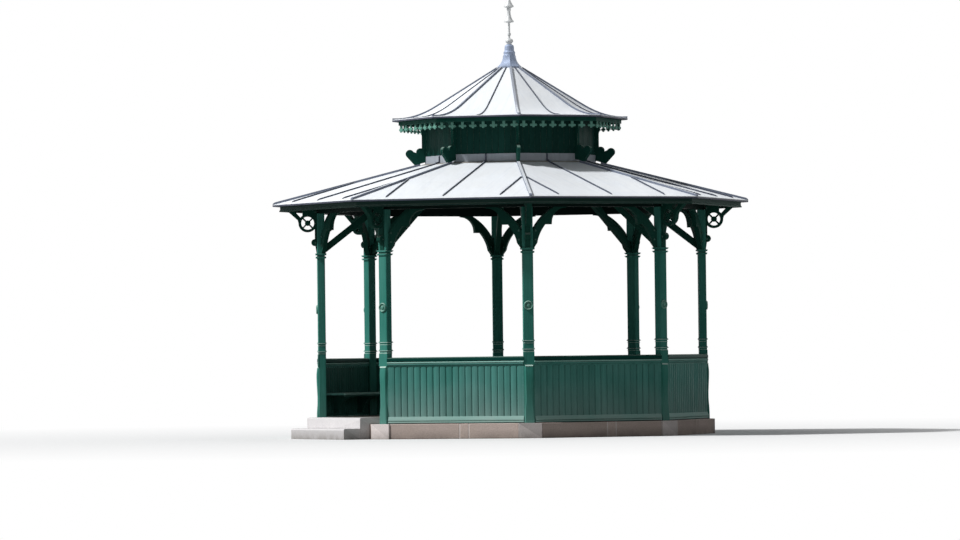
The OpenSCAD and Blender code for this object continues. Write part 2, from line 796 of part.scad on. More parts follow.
// A scrolled board on each corner of the lantern: a double scroll at its foot,
// a plain neck and a hollow sweep out to the upper eave.
module lantern_bracket_profile() {
    foot = hip_z(lantern_r) + seam_h + fit;
    outer_r = 0.205 * scroll_w;
    inner_r = 0.185 * scroll_w;
    outer_c = [scroll_w - outer_r, 0.6 * scroll_h];
    inner_c = [0.29 * scroll_w, 0.73 * scroll_h];
    toe = 0.56 * scroll_w;
    sweep_z = upper_eave_z - foot - upper_t - scroll_sweep_r;
    sweep_x = scroll_neck_w + scroll_sweep_r;
    top = sweep_z + scroll_sweep_r + scroll_h;
    translate([lantern_r, foot]) union() {
        polygon([
            [-scroll_neck_w, scroll_neck_w * hip_slope], [toe, -toe * hip_slope],
            outer_c + outer_r * [cos(-42), sin(-42)], outer_c + outer_r * [cos(150), sin(150)],
            inner_c + inner_r * [cos(-15), sin(-15)], inner_c + inner_r * [cos(90), sin(90)],
            [-scroll_neck_w, scroll_h]]);
        translate(outer_c) circle(r = outer_r);
        translate(inner_c) circle(r = inner_r);
        polygon(concat(
            [[-scroll_neck_w, scroll_neck_w * hip_slope], [scroll_neck_w, 0.7 * scroll_h]],
            arc([sweep_x, sweep_z], scroll_sweep_r, 180, 90),
            [[sweep_x, top], [-scroll_neck_w, top]]));
    }
}

module lantern_brackets() color("seagreen") for (k = corners) difference() {
    at_corner(k) run(scroll_t) lantern_bracket_profile();
    octagon(lantern_a + fit, reach);
    octagon(lantern_a + flashing_t + 2 * fit, lantern_foot + flashing_h + fit);
    both_sides(k) over_upper_roof();
}

// Valance: a plain strip with a row of three-lobed pendants

module pendant(w, h) {
    lobe = 0.11 * w;
    arm = 0.24 * w;
    arm_y = -0.64 * h;
    translate([-0.12 * w, arm_y]) square([0.24 * w, 1 - arm_y]);
    translate([-arm, arm_y - 0.8 * lobe]) square([2 * arm, 1.6 * lobe]);
    for (x = [-arm, arm]) translate([x, arm_y]) circle(r = lobe);
    translate([-0.8 * lobe, lobe - h]) square([1.6 * lobe, h + arm_y]);
    translate([0, lobe - h]) circle(r = lobe);
}

module valance() color("seagreen") for (k = corners) at_side(k) difference() {
    out = upper_a - valance_in_w;
    strip = out * tan(half_turn);
    pitch = 2 * strip / pendants;
    foot = upper_eave_z - upper_t - valance_h;
    intersection() {
        panel_at(out - valance_t, valance_t) union() {
            translate([-strip, foot]) square([2 * strip, valance_h + reach]);
            for (i = [0 : pendants - 1])
                translate([-strip + (i + 0.5) * pitch, foot]) pendant(pitch, pendant_h);
        }
        wedge();
    }
    run(reach) over_upper_roof();
}

// Upper roof

// Distances from the axis at which the bell-cast slope is drawn
cast_places = [for (i = [0 : arc_steps]) cast_a + cast_len * i / arc_steps];

function upper_line(from, rise, squeeze = 1) =
    [for (a = concat([from], cast_places)) [a / squeeze, upper_z(a) + rise]];

module upper_band(from, low, high, squeeze = 1)
    polygon(concat(upper_line(from, low, squeeze), reversed(upper_line(from, high, squeeze))));

// All that lies above the underside of the upper roof on one side
module over_upper_roof() polygon(concat(
    upper_line(0, -upper_t),
    [[upper_a + reach, upper_eave_z - upper_t], [upper_a + reach, 3 * reach], [0, 3 * reach]]));

module under_upper_roof() polygon(concat(
    upper_line(0, 0), [[upper_a + reach, upper_eave_z], [upper_a + reach, 0], [0, 0]]));

module upper_roof() color("aliceblue") for (k = corners) at_side(k) {
    intersection() {
        run(reach) upper_band(apex_hole_r, -upper_t, 0);
        wedge();
    }
    run(seam_w) upper_band(collar_r + fit, -upper_t / 2, seam_h * 0.8);
}

module upper_hip_rolls() color("aliceblue") for (k = corners) difference() {
    at_corner(k) run(hip_roll_w * 0.8)
        upper_band(collar_r + hip_roll_w / 4, -upper_t, seam_h * 0.8, cos(half_turn));
    both_sides(k) under_upper_roof();
}

// Finial

collar_top = upper_z(apex_hole_r) + collar_h;

// The hollow side of the collar, from its foot up to the bell
function collar_side() = let (r = 1.24 * collar_r, c = [bell_r + r, collar_top])
    arc(c, r, 180 + acos((c[0] - collar_r) / r), 180);

function mirrored(v) = [for (p = reversed(v)) [-p[0], p[1]]];

// What two faces of the collar and the two opposite faces bound, and the roof under it
module collar_band() run(3 * collar_r)
    polygon(concat([[collar_r, upper_z(collar_r)]], collar_side(), mirrored(collar_side()),
        [[-collar_r, upper_z(collar_r)]]));
module roof_under_collar() run(4 * collar_r)
    polygon([[collar_r, upper_z(collar_r)], [0, upper_z(0)], [-collar_r, upper_z(collar_r)]]);

module finial_collar() color("lightsteelblue") difference() {
    intersection() {
        at_side(0) collar_band();
        at_side(1) collar_band();
        at_side(2) collar_band();
        at_side(3) collar_band();
    }
    intersection() {
        at_side(0) roof_under_collar();
        at_side(1) roof_under_collar();
        at_side(2) roof_under_collar();
        at_side(3) roof_under_collar();
    }
}

module finial_bell() color("lightsteelblue") translate([0, 0, collar_top]) rotate_extrude()
    polygon(concat(
        [[0, 0], [bell_r, 0], [bell_r, 0.06 * bell_h]],
        arc([1.28 * bell_r, 0.5 * bell_h], 0.47 * bell_r, 232, 180, 4),
        arc([0.48 * bell_r, 0.78 * bell_h], 0.3 * bell_r, 0, 55, 4),
        [[0.38 * bell_r, bell_h], [0, bell_h]]));

// Radii of the spire's turned members
bead_r = 68;
ring_on_stem_r = 30;
stem_r = 18;
skirt_r = 82;
cap_r = 35;

module finial_spire() color("whitesmoke") translate([0, 0, collar_top + bell_h]) rotate_extrude()
    polygon(concat(
        [[0, 0], [0.6 * bead_r, 0]],
        arc([bead_r - 0.04 * spire_h, 0.055 * spire_h], 0.04 * spire_h, -70, 80, 6),
        [[stem_r, 0.11 * spire_h], [stem_r, 0.145 * spire_h],
         [ring_on_stem_r, 0.153 * spire_h], [ring_on_stem_r, 0.195 * spire_h],
         [stem_r, 0.205 * spire_h], [stem_r, 0.375 * spire_h],
         [skirt_r, 0.388 * spire_h], [skirt_r, 0.405 * spire_h],
         [0.58 * skirt_r, 0.465 * spire_h], [0.36 * skirt_r, 0.537 * spire_h],
         [0.8 * cap_r, 0.59 * spire_h], [cap_r, 0.6 * spire_h], [cap_r, 0.64 * spire_h],
         [skirt_r, 0.655 * spire_h], [skirt_r, 0.675 * spire_h],
         [0.6 * skirt_r, 0.73 * spire_h], [0.3 * skirt_r, 0.79 * spire_h],
         [stem_r * 1.8, 0.83 * spire_h], [stem_r * 0.8, 0.87 * spire_h], [0, spire_h]]));

plinth_wall();
plinth_piers();
floor_joists();
floor_deck();
entrance_landing();
entrance_step();
post(0);  // post_1
post(1);  // post_2
post(2);  // post_3
post(3);  // post_4
post(4);  // post_5
post(5);  // post_6
post(6);  // post_7
post(7);  // post_8
post_rosettes();
post_consoles();
dado(closed_sides[0]);  // dado_1
dado(closed_sides[1]);  // dado_2
dado(closed_sides[2]);  // dado_3
dado(closed_sides[3]);  // dado_4
dado(closed_sides[4]);  // dado_5
dado(closed_sides[5]);  // dado_6
dado(closed_sides[6]);  // dado_7
handrails();
bench_seats();
bench_brackets();
eave_beams();
side_braces();
roof_struts();
eave_brackets();
hip_rafters();
common_rafters();
lower_roof();
hip_rolls();
fascia();
lantern_curb();
lantern_walls();
lantern_flashing();
lantern_brackets();
valance();
upper_roof();
upper_hip_rolls();
finial_collar();
finial_bell();
finial_spire();
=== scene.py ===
import math
import bpy
from mathutils import Matrix, Vector


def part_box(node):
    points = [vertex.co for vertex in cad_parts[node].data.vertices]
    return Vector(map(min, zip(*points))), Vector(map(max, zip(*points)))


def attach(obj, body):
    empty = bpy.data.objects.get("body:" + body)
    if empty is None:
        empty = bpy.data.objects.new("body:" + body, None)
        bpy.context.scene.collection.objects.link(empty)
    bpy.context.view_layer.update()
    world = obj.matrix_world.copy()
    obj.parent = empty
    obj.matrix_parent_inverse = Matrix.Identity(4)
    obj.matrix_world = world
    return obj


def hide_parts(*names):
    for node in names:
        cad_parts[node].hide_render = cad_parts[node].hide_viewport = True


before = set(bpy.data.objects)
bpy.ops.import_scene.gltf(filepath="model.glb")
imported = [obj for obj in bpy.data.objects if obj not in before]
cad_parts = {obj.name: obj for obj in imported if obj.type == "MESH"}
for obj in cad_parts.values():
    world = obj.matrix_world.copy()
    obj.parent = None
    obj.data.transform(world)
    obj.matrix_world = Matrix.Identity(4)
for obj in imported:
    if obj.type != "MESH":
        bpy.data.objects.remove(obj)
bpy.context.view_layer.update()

# An octagonal bandstand: materials, fine pieces, camera and light. Lengths are in metres.

UP = Vector((0, 0, 1))

# The octagon: side k faces 45 k degrees, corner k lies half a turn further on
SIDES = 8
TURN = 2 * math.pi / SIDES
HALF = TURN / 2
SIN_HALF, COS_HALF, TAN_HALF = math.sin(HALF), math.cos(HALF), math.tan(HALF)
ENTRANCE = 6
CLOSED_SIDES = [k for k in range(SIDES) if k != ENTRANCE]

# Camera: the photograph's viewing angle, found by fitting the regular octagon
CAMERA_AZIMUTH = 62.93
CAMERA_DISTANCE = 100.0
CAMERA_HEIGHT = 1.316
CAMERA_YAW, CAMERA_PITCH, CAMERA_ROLL = -0.310, 0.860, -0.683
LENS_MM = 221.07
SENSOR_MM = 36.0
CLIP_START, CLIP_END = 1.0, 1000.0

# Light: a soft key from the left of the camera and an even sky
KEY_FROM_CAMERA = -77
KEY_HEIGHT = 44
KEY_ENERGY = 3.4
KEY_SOFTNESS = 5
SKY_COLOR = (0.93, 0.97, 1, 1)
SKY_STRENGTH = 0.19
WHITE = (1, 1, 1, 1)

# The floor is pale to the eye but throws back only a little light, as paving does
FLOOR_SEEN = (0.88, 0.88, 0.88, 1)
FLOOR_BOUNCED = (0.26, 0.26, 0.25, 1)
FLOOR_RADIUS = 300
FLOOR_FADE = (5.0, 22.0)

# Small gaps: between neighbours at a mitre, and from a post
HAIR = 0.001
POST_GAP = 0.002
# Reach of a piece into the face that carries it
SINK = 0.002
# Half of a length that is cut to fit later
OVERLONG = 4

# Measures of the frame that the added pieces are fitted to
POST_CIRCLE = 3.24
POST_W, POST_D = 0.176, 0.128
POST_IN, POST_OUT = POST_CIRCLE - POST_D / 2, POST_CIRCLE + POST_D / 2
SIDE_A = POST_CIRCLE * COS_HALF
CLEAR_HALF = POST_CIRCLE * SIN_HALF - POST_W / 2 / COS_HALF
DADO_OUT = 0.050
DADO_A = SIDE_A + DADO_OUT
DADO_HALF = CLEAR_HALF + DADO_OUT * TAN_HALF
SILL_T = 0.08
PLINTH_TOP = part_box("plinth_wall")[1][2]
PLINTH_WALL_T = 0.4
PIER_CLEAR = 0.196
ROOF_T = 0.030
ROOF_SLOPE = math.tan(math.radians(15.4))
EAVE_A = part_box("lower_roof")[1][0]
EAVE_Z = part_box("lower_roof")[0][2] + ROOF_T
SEAM_OFFSET = 0.985
LANTERN_A = 1.44 * COS_HALF
LANTERN_IN = LANTERN_A - 0.0367
LANTERN_RISE = 0.756
APRON_END = LANTERN_A + 0.0903
UPPER_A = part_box("upper_roof")[1][0]
UPPER_Z = EAVE_Z + (EAVE_A - LANTERN_A) * ROOF_SLOPE + LANTERN_RISE
UPPER_SLOPE = math.tan(math.radians(33.8))
UPPER_EAVE_SLOPE = math.tan(math.radians(-3))
UPPER_START = 0.0603
CAST_LENGTH = 0.37 * UPPER_A
COLLAR_A = 0.1903
VALANCE_FOOT = UPPER_Z - ROOF_T - 0.067


def on_side(k, a, t, z):
    """Place at distance a out from the axis and t along side k."""
    c, s = math.cos(k * TURN), math.sin(k * TURN)
    return Vector((a * c - t * s, a * s + t * c, z))


def on_corner(k, r, t, z):
    return on_side(k + 0.5, r, t, z)


def roof_z(a):
    return EAVE_Z + (EAVE_A - a) * ROOF_SLOPE


def upper_z(a):
    """Height of the upper roof: straight above, cast outward near the eave."""
    d = min(UPPER_A - a, CAST_LENGTH)
    curve = UPPER_EAVE_SLOPE * d + (UPPER_SLOPE - UPPER_EAVE_SLOPE) * d * d / (2 * CAST_LENGTH)
    return UPPER_Z + curve + max(UPPER_A - a - CAST_LENGTH, 0) * UPPER_SLOPE


def arc(radius, start, end, steps):
    """Points (x, y) of an arc round the origin, between two angles in degrees."""
    angles = (math.radians(start + (end - start) * i / steps) for i in range(steps + 1))
    return [(radius * math.cos(g), radius * math.sin(g)) for g in angles]


def circle(radius, steps):
    return arc(radius, 0, 360, steps)[:-1]


def rectangle(x0, x1, y0, y1):
    return [(x0, y0), (x1, y0), (x1, y1), (x0, y1)]


def clipped(loop, nx, ny, limit):
    """The part of a plan polygon where nx x + ny y is below limit."""
    kept = []
    for (x0, y0), (x1, y1) in zip(loop, loop[1:] + loop[:1]):
        d0, d1 = nx * x0 + ny * y0 - limit, nx * x1 + ny * y1 - limit
        if d0 <= 0:
            kept.append((x0, y0))
        if d0 * d1 < 0:
            f = d0 / (d0 - d1)
            kept.append((x0 + f * (x1 - x0), y0 + f * (y1 - y0)))
    return kept


def in_wedge(loop, clear=HAIR / 2):
    """A plan polygon (a, t) cut to the eighth of one side, or further in by a clearance."""
    for end in (-1, 1):
        loop = clipped(loop, -SIN_HALF, end * COS_HALF, -clear)
    return loop


class Shape:
    """Vertices and faces of one piece, gathered from closed bodies."""

    def __init__(self):
        self.vertices, self.faces = [], []

    def prism(self, low, high):
        """The body between two loops of equal length."""
        n, base = len(low), len(self.vertices)
        self.vertices += [tuple(v) for v in low] + [tuple(v) for v in high]
        self.faces.append(tuple(range(base + n - 1, base - 1, -1)))
        self.faces.append(tuple(range(base + n, base + 2 * n)))
        for i in range(n):
            j = (i + 1) % n
            self.faces.append((base + i, base + j, base + n + j, base + n + i))

    def upright(self, k, loop, low, high):
        """A body on side k that stands on a plan of (a, t) points."""
        self.prism(*([on_side(k, a, t, z) for a, t in loop] for z in (low, high)))

    def bar(self, place, k, section, half):
        """A body along side or corner k with a section of (distance out, height) points."""
        self.prism(*([place(k, a, t, z) for a, z in section] for t in (-half, half)))

    def strip(self, rows):
        """Closed loops of points joined one to the next and capped."""
        n, base = len(rows[0]), len(self.vertices)
        for row in rows:
            self.vertices += [tuple(v) for v in row]
        for r in range(len(rows) - 1):
            for i in range(n):
                j = (i + 1) % n
                a, b = base + r * n, base + (r + 1) * n
                self.faces.append((a + i, a + j, b + j, b + i))
        self.faces.append(tuple(range(base + n - 1, base - 1, -1)))
        self.faces.append(tuple(base + (len(rows) - 1) * n + i for i in range(n)))

    def ring(self, rows):
        """Loops of points joined one to the next and the last to the first."""
        n, base = len(rows[0]), len(self.vertices)
        for row in rows:
            self.vertices += [tuple(v) for v in row]
        for r in range(len(rows)):
            a, b = base + r * n, base + (r + 1) % len(rows) * n
            for i in range(n):
                j = (i + 1) % n
                self.faces.append((a + i, b + i, b + j, a + j))

    def octagon(self, profile):
        """A profile of (a, z) points carried round the octagon with mitred corners."""
        self.ring([[on_corner(k, a / COS_HALF, 0, z) for a, z in profile] for k in range(SIDES)])

    def lathe(self, profile, centre, axis, steps):
        """A profile of (radius, height) points turned round an axis."""
        turn = axis.to_track_quat("Z", "Y").to_matrix()
        base, n = len(self.vertices), len(profile)
        for x, y in circle(1, steps):
            self.vertices += [tuple(centre + turn @ Vector((r * x, r * y, h))) for r, h in profile]
        for i in range(steps):
            a, b = base + i * n, base + (i + 1) % steps * n
            for j in range(n - 1):
                self.faces.append((a + j, b + j, b + j + 1, a + j + 1))
        self.faces.append(tuple(base + i * n + n - 1 for i in range(steps)))
        self.faces.append(tuple(base + i * n for i in reversed(range(steps))))


def soften(piece, width):
    bevel = piece.modifiers.new("soft_edges", "BEVEL")
    bevel.width = width
    bevel.segments = 2
    bevel.limit_method = "ANGLE"
    bevel.angle_limit = math.radians(35)
    bevel.harden_normals = False


def make(shape, name, look, bevel=0.0, smooth=0, replaces=()):
    """Turns a gathered shape into a piece that rides on the root."""
    mesh = bpy.data.meshes.new(name)
    mesh.from_pydata(shape.vertices, [], shape.faces)
    mesh.update()
    if smooth:
        mesh.shade_smooth()
        mesh.set_sharp_from_angle(angle=math.radians(smooth))
    piece = bpy.data.objects.new(name, mesh)
    bpy.context.scene.collection.objects.link(piece)
    mesh.materials.append(MATERIALS[look])
    if bevel:
        soften(piece, bevel)
    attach(piece, "root")
    if replaces:
        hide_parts(*replaces)


def linear(rgb):
    """An sRGB colour of 0 to 255 as the linear value that a shader takes."""
    out = []
    for c in rgb:
        c = c / 255
        out.append(c / 12.92 if c <= 0.04045 else ((c + 0.055) / 1.055) ** 2.4)
    return (*out, 1)


# Where the eight folds of a pattern are centred, and how far apart their patterns lie
ON_CORNERS, ON_SIDES = 0.0, 0.5
FOLD_SHIFT = 5.3


class Paint:
    """A material under construction: adds nodes and links in short calls."""

    def __init__(self, name, gloss=0.5, metallic=0.0):
        self.material = bpy.data.materials.new(name)
        self.material.use_nodes = True
        self.tree = self.material.node_tree
        self.shader = self.tree.nodes["Principled BSDF"]
        self.put(gloss, self.shader.inputs["Specular IOR Level"])
        self.put(metallic, self.shader.inputs["Metallic"])

    def node(self, kind, settings=None, **inputs):
        """A new node; an input named i and a number is meant by its place."""
        node = self.tree.nodes.new("ShaderNode" + kind)
        for key, value in (settings or {}).items():
            setattr(node, key, value)
        for key, value in inputs.items():
            by_place = key[0] == "i" and key[1:].isdigit()
            self.put(value, node.inputs[int(key[1:]) if by_place else key])
        return node

    def put(self, value, socket):
        if isinstance(value, bpy.types.NodeSocket):
            self.tree.links.new(value, socket)
        else:
            socket.default_value = value

    def math(self, operation, a, b=0.0, clamp=False):
        settings = {"operation": operation, "use_clamp": clamp}
        return self.node("Math", settings, i0=a, i1=b).outputs[0]

    def times(self, a, b):
        return self.math("MULTIPLY", a, b)

    def mix(self, factor, a, b, blend="MIX"):
        settings = {"data_type": "RGBA", "blend_type": blend}
        return self.node("Mix", settings, i0=factor, i6=a, i7=b).outputs[2]

    def ramp(self, value, low, high, to_low=0.0, to_high=1.0):
        return self.node("MapRange", {"clamp": True}, i0=value, i1=low, i2=high,
                         i3=to_low, i4=to_high).outputs[0]

    def stain(self, color, value, low, high, amount, rgb):
        """Brings a second colour in, by up to amount, as value rises from low to high."""
        return self.mix(self.ramp(value, low, high, 0, amount), color, linear(rgb))

    def vary(self, color, low, high):
        """Gives each loose body of a piece its own shade."""
        random = self.node("NewGeometry").outputs["Random Per Island"]
        shade = self.ramp(random, 0, 1, low, high)
        grey = self.node("CombineColor", i0=shade, i1=shade, i2=shade).outputs[0]
        return self.mix(1.0, color, grey, "MULTIPLY")

    def folded(self, offset=ON_SIDES):
        """Coordinates out, along and up of the nearest side, or of the nearest corner."""
        place = self.node("TexCoord").outputs["Object"]
        x, y, z = self.node("SeparateXYZ", i0=place).outputs
        angle = self.math("DIVIDE", self.math("ARCTAN2", y, x), TURN)
        angle = self.math("ADD", angle, offset)
        index = self.math("FLOOR", angle)
        centred = self.math("SUBTRACT", self.math("SUBTRACT", angle, index), 0.5)
        local = self.times(centred, TURN)
        radius = self.math("SQRT", self.math("ADD", self.times(x, x), self.times(y, y)))
        self.out = self.times(radius, self.math("COSINE", local))
        self.along = self.times(radius, self.math("SINE", local))
        self.up = z
        self.place = self.node("CombineXYZ", i0=self.out, i1=self.along, i2=z).outputs[0]
        self.index = self.times(index, FOLD_SHIFT)

    def noise(self, stretch, detail=3.0, rough=0.55, shift=0.0):
        """Noise in the folded coordinates, with its own number of cells per metre each way."""
        spread = self.node("VectorMath", {"operation": "MULTIPLY"}, i0=self.place, i1=stretch)
        node = self.node("TexNoise", {"noise_dimensions": "4D"}, Vector=spread.outputs[0],
                         W=self.math("ADD", self.index, shift), Scale=1.0, Detail=detail,
                         Roughness=rough)
        return node.outputs[0]

    def facing_up(self, normal):
        """Upward part of the named normal."""
        return self.node("SeparateXYZ", i0=self.node("NewGeometry").outputs[normal]).outputs[2]

    def rounded(self, radius):
        """The normal of a surface with softened arrises."""
        return self.node("Bevel", {"samples": 4}, Radius=radius).outputs[0]

    def worn(self, rounded, low=0.02, high=0.25):
        """1 along arrises, where the rounded and the true normal differ."""
        true = self.node("NewGeometry").outputs["True Normal"]
        dot = self.node("VectorMath", {"operation": "DOT_PRODUCT"}, i0=rounded, i1=true)
        return self.ramp(self.math("SUBTRACT", 1.0, dot.outputs["Value"]), low, high)

    def hollow(self, distance):
        """1 in crevices and under ledges, 0 in the open."""
        node = self.node("AmbientOcclusion", {"samples": 4}, Distance=distance)
        return self.math("SUBTRACT", 1.0, node.outputs["AO"], clamp=True)

    def finish(self, color, roughness, bumps, normal=None):
        """Joins colour, roughness and bumps of (height, depth) to the shader."""
        self.put(color, self.shader.inputs["Base Color"])
        self.put(roughness, self.shader.inputs["Roughness"])
        for height, depth in bumps:
            node = self.node("Bump", Strength=1.0, Distance=depth, Height=height)
            if normal is not None:
                self.put(normal, node.inputs["Normal"])
            normal = node.outputs[0]
        self.put(normal, self.shader.inputs["Normal"])
        return self.material


# Old paint and stone have little gloss left
PAINT_GLOSS, STONE_GLOSS = 0.04, 0.15
PAINT_ROUGHNESS, WOOD_ROUGHNESS, STONE_ROUGHNESS, FLOOR_ROUGHNESS = 0.5, 0.75, 0.85, 0.9
# Cells of the grain per metre out, along and up, by the way that it runs
GRAIN = {"up": (95, 95, 2.2), "along": (95, 2.2, 95), "out": (2.2, 95, 95)}
# The broad pattern of the grain is this many times wider
BROAD_GRAIN = 11
# Splashed dust low down, sun-bleached paint with a painted highlight on top faces, chalk on worn
# arrises, soil and painted shade in hollows
DUST, BLEACHED_AND_LIT, CHALK = (150, 160, 157), (168, 198, 186), (166, 186, 172)
GREY_WOOD, WOOD_HOLLOW = (128, 124, 116), (40, 36, 32)
STONE_ARRIS, SOIL, STONE_HOLLOW = (226, 212, 204), (96, 88, 78), (70, 62, 58)
SHEET_HOLLOW = (92, 100, 108)
# Painted shade for the flanks of standing seams, for the turned eave edges and for the seam lines
# on the lantern's upstand
SEAM_SHADE = (56, 62, 80)
# Where the upstand of the flashing turns into its apron
APRON_EDGE = (LANTERN_A + 0.016, LANTERN_A + 0.018)


def painted_timber(name, palette, grain, folds=ON_SIDES, fade=0.5, edge=0.35, tint=0.0,
                   dust=0.0, top=0.5, below=None):
    """Oil paint on planed timber: brushed grain, fading, chalky arrises, and dirt with painted
    shade in corners.

    The palette is base, faded and dirt; the dirt colour also paints shade into corners. A height
    and a colour in below repaint what is lower, as painted light.
    """
    base, faded, dirt_and_shade = palette
    p = Paint(name, PAINT_GLOSS)
    p.folded(folds)
    fine = p.noise(GRAIN[grain], 3)
    broad = p.noise(tuple(s / BROAD_GRAIN for s in GRAIN[grain]), 3, shift=3)
    patch = p.noise((1.3, 1.3, 1.0), 3, shift=7)
    color = p.stain(linear(base), patch, 0.38, 0.66, fade, faded)
    color = p.stain(color, broad, 0.4, 0.75, 0.4, faded)
    color = p.stain(color, fine, 0.35, 0.72, 0.32, dirt_and_shade)
    if tint:
        color = p.vary(color, 1 - tint, 1 + tint)
    if dust:
        low = p.times(p.ramp(p.up, 0.25, 0.95, 1, 0), p.ramp(patch, 0.3, 0.7, 0.5, 1))
        color = p.mix(p.times(low, dust), color, linear(DUST))
    # Painted light by height: on the valance, the pendants below the level are lightened as if
    # sunlit
    if below:
        level, shade = below
        color = p.mix(p.ramp(p.up, level - 0.02, level + 0.004, 0.8, 0), color, linear(shade))
    # Top faces lighter: partly sun-bleaching, partly a painted highlight where light falls on them
    color = p.stain(color, p.facing_up("Normal"), 0.3, 0.8, top, BLEACHED_AND_LIT)
    rounded = p.rounded(0.006)
    flaw = p.ramp(p.noise((14, 14, 14), 4, shift=11), 0.42, 0.62)
    chalky = p.times(p.times(p.worn(rounded), flaw), edge)
    color = p.mix(chalky, color, linear(CHALK))
    # Dirt and painted shade: hollows and corners darken by ambient occlusion
    color = p.stain(color, p.hollow(0.06), 0.25, 0.9, 0.7, dirt_and_shade)
    rough = p.ramp(broad, 0.3, 0.7, PAINT_ROUGHNESS - 0.08, PAINT_ROUGHNESS + 0.14)
    return p.finish(color, rough, [(fine, 0.0012), (flaw, 0.0004)], rounded)


def bare_timber(name, base, dark):
    """Weathered boards with an open grain."""
    p = Paint(name)
    p.folded()
    fine = p.noise(GRAIN["along"], 5, 0.65)
    patch = p.noise((2, 2, 2), 3, shift=5)
    color = p.stain(linear(base), fine, 0.35, 0.7, 1, dark)
    color = p.stain(color, patch, 0.4, 0.7, 0.45, GREY_WOOD)
    color = p.vary(color, 0.8, 1.2)
    # Dirt and painted shade in hollows, by ambient occlusion
    color = p.stain(color, p.hollow(0.04), 0.2, 0.9, 0.7, WOOD_HOLLOW)
    return p.finish(color, WOOD_ROUGHNESS, [(fine, 0.003)])


def sheet_metal(name, base, dull, streak, roughness=0.42, side=None, seam=0.0, apron=None):
    """Painted sheet: rain streaks down the slope, dull patches and slight oil-canning."""
    p = Paint(name)
    p.folded()
    run = p.noise((0.9, 22, 0.9), 4)
    patch = p.noise((2.2, 2.2, 2.2), 4, shift=4)
    speck = p.noise((60, 60, 60), 2, shift=9)
    color = p.stain(linear(base), patch, 0.35, 0.7, 0.7, dull)
    color = p.stain(color, run, 0.5, 0.78, 0.35, streak)
    color = p.stain(color, speck, 0.66, 0.76, 0.35, streak)
    # Painted shade: faces that do not look up take the side colour, as the shaded flanks of seams
    # and hips
    if side:
        color = p.mix(p.ramp(p.facing_up("True Normal"), 0.8, 0.93), linear(side), color)
    if apron:
        color = p.stain(color, p.out, *APRON_EDGE, 1, apron)
    # Thin dark lines where the seams meet the upstand, in the painted shade of the seams
    if seam:
        line = p.ramp(p.math("ABSOLUTE", p.along), seam, seam + 0.001, 1, 0)
        color = p.mix(line, color, linear(SEAM_SHADE))
    # Dirt and painted shade in hollows, by ambient occlusion
    color = p.stain(color, p.hollow(0.05), 0.3, 0.9, 0.65, SHEET_HOLLOW)
    rough = p.ramp(patch, 0.3, 0.7, roughness, roughness + 0.2)
    dents = p.noise((1.6, 3.0, 1.6), 2, shift=13)
    return p.finish(color, rough, [(dents, 0.02), (speck, 0.0004)], p.rounded(0.004))


def stone(name, base, warm, dark, scale=1.0, edge=0.5):
    """Dressed stone: mottled, pitted, with paler arrises, worn and partly a painted highlight, and
    soil at the ground.
    """
    p = Paint(name, STONE_GLOSS)
    p.folded()
    cloud = p.noise((4 * scale,) * 3, 5, 0.6)
    fine = p.noise((70 * scale,) * 3, 4, 0.7, shift=3)
    pits = p.node("TexVoronoi", Vector=p.place, Scale=55 * scale).outputs["Distance"]
    color = p.stain(linear(base), cloud, 0.35, 0.68, 1, warm)
    color = p.stain(color, fine, 0.42, 0.75, 0.6, dark)
    color = p.vary(color, 0.86, 1.1)
    rounded = p.rounded(0.014)
    color = p.mix(p.times(p.worn(rounded, 0.01, 0.2), edge), color, linear(STONE_ARRIS))
    soil = p.times(p.ramp(p.up, 0.0, 0.16, 1, 0), p.ramp(cloud, 0.3, 0.6, 0.3, 1))
    color = p.mix(p.times(soil, 0.6), color, linear(SOIL))
    # Dirt and painted shade in hollows, by ambient occlusion
    color = p.stain(color, p.hollow(0.05), 0.3, 0.9, 0.6, STONE_HOLLOW)
    return p.finish(color, STONE_ROUGHNESS, [(fine, 0.004), (pits, 0.002)], rounded)


def turned_metal(name, base, dull, streak, roughness):
    """Cast or turned metal with dull patches and dark runs."""
    p = Paint(name, metallic=0.25)
    p.folded()
    run = p.noise((30, 30, 1.5), 4)
    patch = p.noise((9, 9, 9), 4, shift=4)
    color = p.stain(linear(base), patch, 0.35, 0.7, 0.7, dull)
    color = p.stain(color, run, 0.45, 0.75, 0.5, streak)
    # Dirt and painted shade: hollows darken towards the run colour, by ambient occlusion
    color = p.stain(color, p.hollow(0.03), 0.3, 0.9, 0.6, streak)
    rough = p.ramp(patch, 0.3, 0.7, roughness, roughness + 0.25)
    return p.finish(color, rough, [(patch, 0.001)])


# Paints, each as base, faded and dirt; the dirt colour also paints shade into hollows
GREEN = ((52, 129, 116), (86, 157, 144), (17, 66, 59))
# Painted shade: the shaped timbers and the lantern brackets take darker copies of the green paint
# for the shade under the roofs
SHADED_GREEN = ((22, 70, 60), (40, 92, 80), (10, 38, 33))
SCROLL = ((18, 64, 55), (34, 86, 76), SHADED_GREEN[2])
# Valance: the strip is darker as painted shade under the eave, and the pendants are lighter as
# painted sunlight
VALANCE = ((22, 72, 62), (36, 90, 78), SHADED_GREEN[2])
PENDANT_PAINTED_LIGHT = (112, 166, 150)
# Painted shade: the lantern walls are darker for the shade under the upper roof
LANTERN = ((18, 56, 50), (32, 74, 66), (8, 32, 29))
DADO = ((72, 140, 130), (108, 166, 158), (28, 84, 78))
RAIL = ((11, 65, 57), (18, 77, 69), (7, 46, 41))
# Painted highlight: pale paint for the sloped weatherings, the sill faces and the bench nosings
WEATHERING_HIGHLIGHT = ((136, 186, 176), (166, 206, 198), DADO[0])
# Painted shade: a darker copy of the dado paint for the insides, the bench brackets and the lips
# under the seats
INNER_SHADED = ((40, 92, 84), (56, 108, 98), (20, 58, 52))
# Painted highlight: the pale bead under each handrail
BEAD_HIGHLIGHT = ((150, 204, 192), (182, 222, 212), DADO[1])
